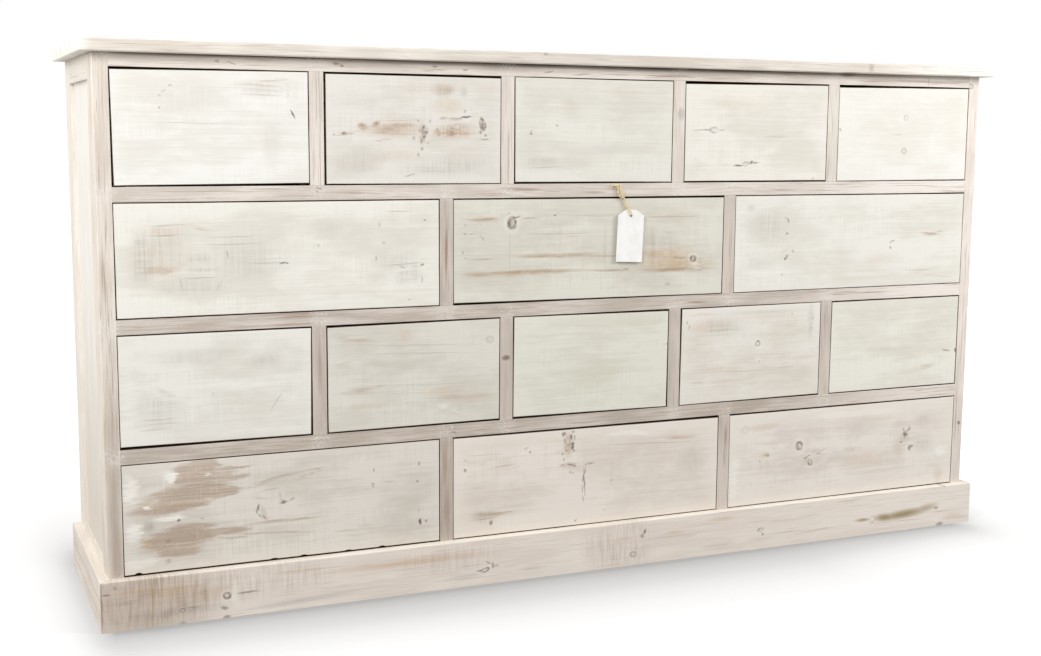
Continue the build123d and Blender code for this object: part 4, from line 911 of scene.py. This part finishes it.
def whitewashed_front(name, low, high, looks):
    """Sawn pine under rubbed white wash: chalky and matt, grain and saw marks as faint lines, wood bare in patches.
    Fibres and saw marks are drawn at 2 to 4 mm, two or three times their real spacing, so that they show."""
    material, tree, shader = new_material(name, FRONT_ROUGH, FRONT_GLOSS)
    place = in_millimetres(tree)
    seed = (low.z * 900, low.x * 700, low.x * 310)
    firm = strayed(tree, place, (45, 45, 30), (4, 0, 4), seed)
    knotty = strayed(tree, place, (8, 8, 7), (4.5, 0, 4), seed)
    drawn = strayed(tree, firm, (110, 40, 2.2), (60, 0, 2.4), seed)
    brushed = strayed(tree, strayed(tree, firm, (16, 16, 9), (9, 0, 7), seed), (70, 40, 3.5), (34, 0, 5), seed)
    grain = firm
    knots = looks.get("knots", [])
    for x, z, _, height, _, _ in knots:
        centred = add_node(tree, "VectorMath", {0: firm, 1: (x, 0, z)}, operation="SUBTRACT")
        squeezed = add_node(tree, "VectorMath", {0: centred, 1: (0.4, 0, 1)}, operation="MULTIPLY")
        reach = add_node(tree, "VectorMath", {0: squeezed}, out="Value", operation="LENGTH")
        bend = add_node(
            tree, "MapRange", {"Value": reach, "From Max": 3 * height, "To Min": 0.8, "To Max": 0.0},
            interpolation_type="SMOOTHERSTEP",
        )
        pull = add_node(tree, "VectorMath", {0: centred, "Scale": bend}, operation="SCALE")
        grain = add_node(tree, "VectorMath", {0: grain, 1: pull}, operation="SUBTRACT")

    growth = pattern(tree, grain, (420, 60, 5.5), detail=3, seed=seed)
    fibre = pattern(tree, grain, (60, 12, 1.7), detail=2, seed=seed)
    saw = pattern(tree, place, (2.2, 20, 60), detail=1, seed=seed)
    mottle = pattern(tree, firm, (24, 24, 10), detail=4, seed=seed)
    cloud = pattern(tree, place, (170, 90, 70), detail=3, seed=seed)
    sawn = pattern(tree, place, (130, 90, 60), seed=(low.x * 510, 7, low.z * 300))
    sawn = add_node(tree, "MapRange", {"Value": sawn, "From Min": 0.42, "From Max": 0.62, "To Max": 0.95})
    saw_mark = add_node(tree, "Math", {0: saw, 1: sawn}, operation="MULTIPLY")
    lines = add_node(tree, "Math", {0: growth, 1: fibre}, operation="ADD")
    cover = saw_mark
    for texture, weight in ((lines, 0.75), (mottle, 0.7), (cloud, 1.2)):
        cover = add_node(tree, "Math", {0: texture, 1: weight, 2: cover}, operation="MULTIPLY_ADD")
    cover = add_node(tree, "MapRange", {"Value": cover, "From Min": 1.5, "From Max": 2.15})
    thick, thin = looks["wash"]
    colour = tint(tree, thin, cover, thick)

    middle, reach = (low + high) / 2 / MM, (high - low) / 2 / MM
    inset = strayed(tree, firm, (70, 40, 2.4), (16, 0, 10), seed)
    inset = add_node(tree, "VectorMath", {0: inset, 1: middle}, operation="SUBTRACT")
    inset = add_node(tree, "VectorMath", {0: inset}, operation="ABSOLUTE")
    inset = add_node(tree, "VectorMath", {0: inset, 1: reach}, operation="SUBTRACT")
    sides = add_node(tree, "SeparateXYZ", {0: inset}, out="X")
    edge = add_node(tree, "Math", {0: sides, 1: sides.node.outputs["Z"]}, operation="MAXIMUM")
    margin, strength = looks.get("margin", PLAIN_MARGIN)
    chalked = add_node(
        tree, "MapRange", {"Value": edge, "From Min": -2.0 * margin, "From Max": 0.0, "To Max": strength},
        interpolation_type="SMOOTHSTEP",
    )
    colour = tint(tree, colour, chalked, thick)

    rubbed = pattern(tree, firm, (7, 7, 3.5), detail=3, seed=seed)
    for texture in (saw, mottle):
        rubbed = add_node(tree, "Math", {0: rubbed, 1: texture}, operation="ADD")
    tan = cloud
    for texture, weight in ((lines, 0.9), (rubbed, 0.5)):
        tan = add_node(tree, "Math", {0: texture, 1: weight, 2: tan}, operation="MULTIPLY_ADD")
    tan = add_node(tree, "MapRange", {"Value": tan, "From Min": 1.98, "From Max": 2.32})
    tan = tint(tree, BARE_DARK, tan, BARE_WOOD)
    hatching = add_node(tree, "Math", {0: saw, 1: lines}, operation="ADD")
    streaky = add_node(tree, "Math", {0: mottle, 1: lines}, operation="ADD")
    # Each kind of mark: the place it follows, its colour, its core, what breaks it up and how far, its full share.
    for kind, at, shade, core, texture, depth, most in (
        ("warm", firm, WARM_WASH, 0.1, rubbed, 1.6, 1.0), ("rub_and_shadow", firm, GREY_RUB_AND_SHADOW, 0.1, hatching, 2.6, 0.6),
        ("bare", brushed, tan, 0.6, rubbed, 0.8, 1.0), ("gold", brushed, GOLD_WOOD, 0.1, rubbed, 1.0, 1.0),
        ("blots", knotty, WORN_WOOD, 0.1, rubbed, 2.2, 1.0), ("streak", drawn, WORN_WOOD, 0.15, streaky, 1.8, 1.0),
        ("lines", firm, GREY_LINE, 0.2, streaky, 1.5, 1.0), ("white", brushed, CHALK, 0.4, streaky, 1.2, 1.0),
        ("dots", knotty, KNOT_RING, 0.25, mottle, 0.8, 1.1), ("cracks", knotty, SPLIT_AND_SHADOW, 0.3, mottle, 0.5, 1.0),
    ):
        if not looks.get(kind):
            continue
        mask = soft_spots(tree, at, looks[kind], core)
        even = 0.5 if texture == mottle else 1.5
        wear = add_node(
            tree, "Math", {0: texture, 1: most * depth, 2: most * (1.0 - even * depth)}, operation="MULTIPLY_ADD"
        )
        mask = add_node(tree, "Math", {0: mask, 1: wear}, operation="MULTIPLY", use_clamp=True)
        colour = tint(tree, colour, mask, shade)
    colour = add_knots(tree, colour, knotty, knots)

    # Painted shade: the edges of the front, inside the gaps round it, are darkened behind the face, and its back face
    # is bare pine.
    back = add_node(tree, "SeparateXYZ", {0: place}, out="Y")
    start, end = (FACE + depth for depth in GAP_SHADE_DEPTHS)
    edge_shade_and_raw_back = add_node(tree, "MapRange", {"Value": back, "From Min": start, "From Max": end})
    rear = high.y / MM
    inner = add_node(tree, "MapRange", {"Value": back, "From Min": rear - 0.5, "From Max": rear - 0.1})
    raw = add_node(tree, "MapRange", {"Value": lines, "From Min": 0.95, "From Max": 1.25})
    raw = tint(tree, tint(tree, PINE_LIGHT, cloud, PINE_MID), raw, PINE_LINE)
    behind = tint(tree, SEAM_AND_GAP_SHADE, inner, raw)
    tree.links.new(tint(tree, colour, edge_shade_and_raw_back, behind), shader["Base Color"])
    height = add_node(tree, "Math", {0: saw_mark, 1: 0.8, 2: lines}, operation="MULTIPLY_ADD")
    bump = add_node(tree, "Bump", {"Height": height, "Distance": GRAIN_DEPTH, "Strength": 0.35})
    tree.links.new(bump, shader["Normal"])
    return material


def planed_front(node):
    """A copy of a drawer front's solid with the uneven edges and the slightly hollow face of hand planing."""
    low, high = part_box(node)
    shape = bmesh.new()
    shape.from_mesh(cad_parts[node].data)
    bmesh.ops.remove_doubles(shape, verts=shape.verts, dist=SAME_PLACE)
    chips = [(x, depth) for x, depth in CHIPS if low.x < x < high.x and low.z < CHIP_TOP]
    cuts = [(0, x + step * CHIP_HALF) for x, _ in chips for step in (-1, -0.4, 0.4, 1)]
    for axis in (0, 2):
        count = round((high[axis] - low[axis]) / FRONT_STEP)
        cuts += [(axis, low[axis] + (high[axis] - low[axis]) * i / count) for i in range(1, count)]
    for axis, where in cuts:
        at, way = Vector((0, 0, 0)), Vector((0, 0, 0))
        at[axis], way[axis] = where, 1
        geometry = [*shape.verts, *shape.edges, *shape.faces]
        bmesh.ops.bisect_plane(shape, geom=geometry, dist=SAME_PLACE, plane_co=at, plane_no=way)
    for vertex in shape.verts:
        x, y, z = vertex.co
        fade = max(0.0, 1 - (y - low.y) / EDGE_DEPTH)
        if not fade:
            continue
        for axis, along in ((0, z), (2, x)):
            wander = 0.5 + 0.5 * noise.noise((along * EDGE_WAVES, low.x * 31 + axis, low.z * 17))
            for gap, way in ((vertex.co[axis] - low[axis], 1), (high[axis] - vertex.co[axis], -1)):
                near = max(0.0, 1 - gap / EDGE_REACH)
                vertex.co[axis] += way * near * fade * FRONT_WANDER * wander
        hollow = 0.5 + 0.5 * noise.noise((x * HOLLOW_WAVES[0], low.x * 13, z * HOLLOW_WAVES[1]))
        vertex.co.y += fade * FRONT_HOLLOW * hollow
        for place, depth in chips:
            if z < CHIP_TOP and abs(x - place) < 0.9 * CHIP_HALF:
                vertex.co.z += fade * depth
    return shape


def new_piece(name, shape, material, body):
    """Makes a piece from a mesh being built, with its material, on a body of the frame."""
    mesh = bpy.data.meshes.new(name)
    bmesh.ops.recalc_face_normals(shape, faces=shape.faces)
    shape.to_mesh(mesh)
    shape.free()
    mesh.shade_smooth()
    mesh.materials.append(material)
    piece = bpy.data.objects.new(name, mesh)
    bpy.context.scene.collection.objects.link(piece)
    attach(piece, body)
    return piece


for front, looks in FRONTS.items():
    node = f"drawer_front_{front}"
    front_pine = whitewashed_front(f"whitewashed_pine_{front}", *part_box(node), looks)
    piece = new_piece(f"planed_front_{front}", planed_front(node), front_pine, f"drawer_{front}")
    piece.data.set_sharp_from_angle(angle=SHARP_ANGLE)
    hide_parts(node)


# String of the tag: jute twine of about 2 mm, three loose yarns twisted together, tied at the gap under the
# middle drawer of the first row, led through the hole of the tag and back, and held by a knot half way down.
STRING_ROUTE = [
    (43.4, -161.6, 638.4), (50.5, -163.0, 622.0), (58.5, -165.0, 605.5), (63.0, -166.2, 597.0), (65.0, -166.0, 592.6),
    (65.0, -161.0, 592.6), (62.6, -160.7, 597.5), (56.5, -161.0, 608.0), (47.0, -161.2, 623.5), (40.6, -161.6, 638.4),
]
# Yarns of a run: how many, their radius, their offset from the middle and the length of one turn, in mm.
STRING_YARNS = (3, 0.7, 0.66, 9.0)
YARN_SIDES, FIBRE_DEPTH = 7, 0.3 * MM
JUTE_LIGHT, JUTE_DARK, JUTE_SHADE, JUTE_BLEACHED = "F8EED2", "EAD5A6", "CBB07C", "FFFFFF"


def smooth_line(name, route):
    """Reads points along the order-3 NURBS spline that has a route's points, in millimetres, as control points."""
    curve = bpy.data.curves.new(name, "CURVE")
    curve.dimensions = "3D"
    curve.resolution_u = 24
    spline = curve.splines.new("NURBS")
    spline.points.add(len(route) - 1)
    for point, place in zip(spline.points, route):
        point.co = (*(value * MM for value in place), 1)
    spline.order_u = 3
    spline.use_endpoint_u = True
    holder = bpy.data.objects.new(name, curve)
    line = bpy.data.meshes.new_from_object(holder)
    points = [vertex.co.copy() for vertex in line.vertices]
    bpy.data.objects.remove(holder)
    bpy.data.meshes.remove(line)
    bpy.data.curves.remove(curve)
    return points


def twist_yarns(shape, points, yarns, radius, offset, lay, thin_end=1.0):
    """Adds yarns to a mesh, twisted round a line with one turn in each lay; sizes in mm, ends closed."""
    side = Vector((0.31, 0.87, 0.38))
    run = 0.0
    rings = [[] for _ in range(yarns)]
    for index, point in enumerate(points):
        before, after = points[max(index - 1, 0)], points[min(index + 1, len(points) - 1)]
        along = (after - before).normalized()
        side = (side - along * side.dot(along)).normalized()
        other = along.cross(side)
        run += (point - before).length / MM
        share = index / (len(points) - 1)
        size = 1.0 + (thin_end - 1.0) * share
        for yarn in range(yarns):
            turn = 2 * math.pi * (yarn / yarns + run / lay)
            centre = point + (side * math.cos(turn) + other * math.sin(turn)) * offset * MM * size
            ring = []
            for step in range(YARN_SIDES):
                angle = 2 * math.pi * step / YARN_SIDES
                out = side * math.cos(angle) + other * math.sin(angle)
                ring.append(shape.verts.new(centre + out * radius * MM * size))
            rings[yarn].append(ring)
    for yarn in rings:
        for ring, following in zip(yarn, yarn[1:]):
            for step in range(YARN_SIDES):
                after = (step + 1) % YARN_SIDES
                shape.faces.new((ring[step], ring[after], following[after], following[step]))
        shape.faces.new(reversed(yarn[0]))
        shape.faces.new(yarn[-1])


# Jute: dry twisted bast fibre, matt, straw yellow with bleached tips and browner hollows between the yarns.
jute, tree, shader = new_material("jute_twine", roughness=0.92, gloss=0.2)
place = in_millimetres(tree)
fibres = pattern(tree, place, (0.9, 0.9, 2.6), detail=3)
tufts = pattern(tree, place, (6, 6, 9))
straw = add_node(tree, "ValToRGB", {0: fibres})
set_stops(straw, ((0.3, JUTE_SHADE), (0.47, JUTE_DARK), (1.0, JUTE_BLEACHED)))
paler = add_node(tree, "MapRange", {"Value": tufts, "From Min": 0.4, "From Max": 0.7, "To Max": 0.7})
tree.links.new(tint(tree, straw, paler, JUTE_LIGHT), shader["Base Color"])
bump = add_node(tree, "Bump", {"Height": fibres, "Distance": FIBRE_DEPTH, "Strength": 0.8})
tree.links.new(bump, shader["Normal"])

string_line = smooth_line("string_line", STRING_ROUTE)
shape = bmesh.new()
twist_yarns(shape, string_line, *STRING_YARNS)
tag_twine = new_piece("tag_twine", shape, jute, "tag")
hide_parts("tag_string")


# Knots of the string: the tie at the gap with short ends that fray out to the left, two slack loops that hang from
# it, and the overhand knot that gathers loops and runs half way down. All are of the same jute twine.
KNOT_CENTRE = (42.0, -161.7, 640.2)
KNOT_HALF, KNOT_TURNS, KNOT_HIGH, KNOT_DEEP, KNOT_STEPS = 5.0, 3.5, 2.4, 1.2, 36
HITCH_CENTRE, HITCH_SLOPE = (47.6, -163.0, 625.5), (6.5, -0.5, -16.0)
HITCH_HALF, HITCH_TURNS, HITCH_WIDE, HITCH_SWELL, HITCH_FLAT, HITCH_STEPS = 5.0, 3.2, 3.4, 1.5, 0.42, 44
TIE_YARNS, END_YARNS, END_TAPER = (2, 0.55, 0.45, 6.0), (3, 0.5, 0.55, 9.0), 0.6
LOOP_YARNS, HITCH_YARNS = (3, 0.55, 0.5, 8.0), (3, 0.55, 0.5, 6.5)
FRAYED_ENDS = [
    [(40.0, -162.6, 640.5), (36.0, -163.4, 641.6), (32.0, -163.2, 641.4), (29.0, -162.6, 638.8), (27.4, -162.2, 635.6)],
    [(40.5, -162.8, 641.2), (36.0, -163.0, 642.6), (32.5, -163.2, 643.0), (30.0, -163.0, 642.6), (26.6, -162.6, 642.9)],
    [(41.0, -162.4, 639.4), (38.0, -163.2, 638.6), (35.8, -163.0, 637.0), (35.0, -162.6, 634.6)],
    [(40.5, -163.4, 641.0), (35.0, -164.2, 640.2), (31.0, -164.0, 640.8), (28.0, -163.4, 640.4)],
]
SLACK_LOOPS = [
    [
        (40.0, -162.6, 640.0), (39.6, -163.6, 632.0), (41.8, -163.4, 624.0), (46.0, -163.0, 622.6),
        (46.4, -163.4, 630.0), (43.5, -162.8, 639.0),
    ],
    [
        (44.5, -162.6, 640.0), (47.6, -163.8, 634.0), (52.4, -164.2, 625.0), (50.0, -164.4, 620.8),
        (46.6, -164.2, 626.0), (43.0, -163.4, 638.0),
    ],
]

shape = bmesh.new()
tie = []
for step in range(KNOT_STEPS + 1):
    share = step / KNOT_STEPS
    turn = 2 * math.pi * KNOT_TURNS * share
    tie.append((
        KNOT_CENTRE[0] - KNOT_HALF + 2 * KNOT_HALF * share,
        KNOT_CENTRE[1] + KNOT_DEEP * math.cos(turn),
        KNOT_CENTRE[2] + KNOT_HIGH * math.sin(turn),
    ))
twist_yarns(shape, smooth_line("tie_line", tie), *TIE_YARNS)
for end in FRAYED_ENDS:
    twist_yarns(shape, smooth_line("end_line", end), *END_YARNS, thin_end=END_TAPER)
for loop in SLACK_LOOPS:
    twist_yarns(shape, smooth_line("loop_line", loop), *LOOP_YARNS)
hitch = []
slope = Vector(HITCH_SLOPE).normalized()
side = Vector((0, 1, 0)).cross(slope).normalized()
front = slope.cross(side)
for step in range(HITCH_STEPS + 1):
    share = step / HITCH_STEPS
    turn = 2 * math.pi * HITCH_TURNS * share
    bulge = HITCH_WIDE + HITCH_SWELL * math.sin(math.pi * share)
    centre = Vector(HITCH_CENTRE) + slope * HITCH_HALF * (2 * share - 1)
    hitch.append(tuple(centre + side * bulge * math.cos(turn) + front * HITCH_FLAT * bulge * math.sin(turn)))
twist_yarns(shape, smooth_line("hitch_line", hitch), *HITCH_YARNS)
twine_knots = new_piece("twine_knots", shape, jute, "tag")
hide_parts("string_knot")


# Tag: a small blank card with clipped upper corners, punched for the string and a little curled from handling.
# Uncoated white board: matt, with a barely visible felt of fibres.
CARD_WIDTH, CARD_HEIGHT = 48.0, 86.0
CARD_CLIP_ACROSS, CARD_CLIP_DOWN = 15.0, 9.5
CARD_THICK = 0.8
CARD_HOLE_RADIUS, CARD_HOLE_DROP = 2.5, 10.0
CARD_HOLE = (65.0, -163.5, 591.4)
CARD_TILT = math.radians(2.3)
CARD_CURL = 0.8
CARD_RINGS, RING_SPREAD, RIM_STEP = 10, 1.3, 4.0
CARD_WHITE, CARD_SHADE = "FDFCFA", "F6F4EF"
FELT_DEPTH = 0.05 * MM

card_board, tree, shader = new_material("uncoated_card", roughness=0.8)
place = in_millimetres(tree)
felt = pattern(tree, place, (0.7, 0.7, 0.7), detail=4)
clouding = pattern(tree, place, (14, 14, 22))
tone = add_node(tree, "MapRange", {"Value": clouding, "From Min": 0.35, "From Max": 0.65})
tree.links.new(tint(tree, CARD_SHADE, tone, CARD_WHITE), shader["Base Color"])
tree.links.new(add_node(tree, "Bump", {"Height": felt, "Distance": FELT_DEPTH}), shader["Normal"])

half = CARD_WIDTH / 2
foot = CARD_HOLE_DROP - CARD_HEIGHT
outline = [
    (half, foot), (half, CARD_HOLE_DROP - CARD_CLIP_DOWN), (half - CARD_CLIP_ACROSS, CARD_HOLE_DROP),
    (CARD_CLIP_ACROSS - half, CARD_HOLE_DROP), (-half, CARD_HOLE_DROP - CARD_CLIP_DOWN), (-half, foot),
]
rim = []
for (x0, z0), (x1, z1) in zip(outline, outline[1:] + outline[:1]):
    parts = max(2, round(math.hypot(x1 - x0, z1 - z0) / RIM_STEP))
    rim += [(x0 + (x1 - x0) * i / parts, z0 + (z1 - z0) * i / parts) for i in range(parts)]
shape = bmesh.new()
rings = []
for ring in range(CARD_RINGS + 1):
    share = (ring / CARD_RINGS) ** RING_SPREAD
    row = []
    for x, z in rim:
        reach = math.hypot(x, z)
        inner = CARD_HOLE_RADIUS / reach
        u, v = x * (inner + (1 - inner) * share), z * (inner + (1 - inner) * share)
        curl = CARD_CURL * ((u / half) ** 2 * 0.6 - ((v - foot) / CARD_HEIGHT - 0.5) * (u / half) * 0.5)
        row.append(shape.verts.new((
            (CARD_HOLE[0] + u * math.cos(CARD_TILT) + v * math.sin(CARD_TILT)) * MM,
            (CARD_HOLE[1] - curl) * MM,
            (CARD_HOLE[2] - u * math.sin(CARD_TILT) + v * math.cos(CARD_TILT)) * MM,
        )))
    rings.append(row)
for inner, outer in zip(rings, rings[1:]):
    for i in range(len(rim)):
        j = (i + 1) % len(rim)
        shape.faces.new((inner[i], inner[j], outer[j], outer[i]))
for edge in shape.edges:
    edge.smooth = not edge.is_boundary
tag_card = new_piece("tag_card", shape, card_board, "tag")
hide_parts("swing_tag")
thick = tag_card.modifiers.new("board", "SOLIDIFY")
thick.thickness = CARD_THICK * MM
thick.offset = 0.0
thick.use_even_offset = True


# Studio: a pale floor that keeps the shadow, two large soft lamps high at the left and right, a weaker one at the
# left end and one overhead, and white all round. Away from the chest the floor glows to plain white.
FLOOR_HALF = 12.0
FLOOR_WHITE = "B2B2B2"
# Painted shadow in part: the glow is weakest at the plinth, grows with distance from the chest and grows sooner towards
# the right end, so the soft shadow round the chest is partly real and partly painted where the glow is weaker.
FLOOR_GLOW = (
    (0.0, 0.0), (0.008, 0.0), (0.022, 0.1), (0.05, 0.19), (0.09, 0.27), (0.13, 0.37), (0.18, 0.45), (0.25, 0.51),
    (1.2, 1.0),
)
FLOOR_MIDDLE, FLOOR_CORE, END_FADE = (-0.012, 0.0, 0.0), (0.764, 0.173, 0.0), 3.0
RIGHT_FADE_START, RIGHT_FADE_END, RIGHT_FADE = 0.37, 0.72, 1.9
# Each lamp: its place, where it points, its size in metres and its power in watts.
LAMPS = {
    "lamp_left": ((-1.5, -1.45, 1.65), (-0.55, -0.15, 0.46), 1.0, 22.3),
    "lamp_right": ((1.55, -1.4, 1.65), (0.6, -0.15, 0.46), 1.0, 24.2),
    "lamp_end": ((-2.3, 0.1, 1.3), (-0.8, 0.0, 0.5), 1.0, 12.5),
    "lamp_above": ((0.0, 0.7, 2.6), (0.0, 0.2, 0.4), 2.2, 13.0),
}
ROOM_LIGHT = 0.5


def seen_share(tree):
    """1 for a ray that the camera sends or that a glossy or clear surface passes on, and 0 for the rest."""
    seen = path = add_node(tree, "LightPath", {}, out="Is Camera Ray")
    for ray in ("Is Glossy Ray", "Is Transmission Ray"):
        seen = add_node(tree, "Math", {0: seen, 1: path.node.outputs[ray]}, operation="MAXIMUM")
    return seen


# Floor paint: matt and pale, without gloss, so that it shows soft shadows only.
floor_paint, tree, shader = new_material("floor_paint", roughness=0.9, gloss=0.0)
spot = add_node(tree, "TexCoord", {}, out="Object")
beyond = add_node(tree, "VectorMath", {0: spot, 1: FLOOR_MIDDLE}, operation="SUBTRACT")
beyond = add_node(tree, "VectorMath", {0: beyond}, operation="ABSOLUTE")
beyond = add_node(tree, "VectorMath", {0: beyond, 1: FLOOR_CORE}, operation="SUBTRACT")
beyond = add_node(tree, "VectorMath", {0: beyond, 1: (0, 0, 0)}, operation="MAXIMUM")
beyond = add_node(tree, "VectorMath", {0: beyond, 1: (END_FADE, 1, 1)}, operation="MULTIPLY")
right = add_node(tree, "SeparateXYZ", {0: spot}, out="X")
right = add_node(
    tree, "MapRange",
    {"Value": right, "From Min": RIGHT_FADE_START, "From Max": RIGHT_FADE_END, "To Min": 1.0, "To Max": RIGHT_FADE},
)
right = add_node(tree, "CombineXYZ", {"X": 1.0, "Y": right, "Z": 1.0})
beyond = add_node(tree, "VectorMath", {0: beyond, 1: right}, operation="MULTIPLY")
beyond = add_node(tree, "VectorMath", {0: beyond}, out="Value", operation="LENGTH")
beyond = add_node(tree, "Math", {0: beyond, 1: FLOOR_GLOW[-1][0]}, operation="DIVIDE")
glow = add_node(tree, "ValToRGB", {0: beyond})
set_stops(glow, [(distance / FLOOR_GLOW[-1][0], amount) for distance, amount in FLOOR_GLOW])
glow = add_node(tree, "Math", {0: seen_share(tree), 1: glow}, operation="MULTIPLY")
shader["Base Color"].default_value = srgb(FLOOR_WHITE)
shader["Emission Color"].default_value = (1, 1, 1, 1)
tree.links.new(glow, shader["Emission Strength"])
shape = bmesh.new()
bmesh.ops.create_grid(shape, x_segments=4, y_segments=4, size=FLOOR_HALF)
mesh = bpy.data.meshes.new("floor")
shape.to_mesh(mesh)
shape.free()
mesh.materials.append(floor_paint)
floor = bpy.data.objects.new("floor", mesh)
bpy.context.scene.collection.objects.link(floor)

for name, (stand, aim, size, power) in LAMPS.items():
    lamp = bpy.data.lights.new(name, "AREA")
    lamp.shape = "SQUARE"
    lamp.size = size
    lamp.energy = power
    holder = bpy.data.objects.new(name, lamp)
    holder.location = stand
    holder.rotation_euler = (Vector(aim) - Vector(stand)).to_track_quat("-Z", "Y").to_euler()
    bpy.context.scene.collection.objects.link(holder)

world = bpy.data.worlds.new("white_room")
world.use_nodes = True
bpy.context.scene.world = world
tree = world.node_tree
strength = add_node(tree, "MapRange", {"Value": seen_share(tree), "To Min": ROOM_LIGHT, "To Max": 1.0})
background = tree.nodes["Background"].inputs
background["Color"].default_value = (1, 1, 1, 1)
tree.links.new(strength, background["Strength"])
bpy.context.scene.view_settings.view_transform = "Standard"
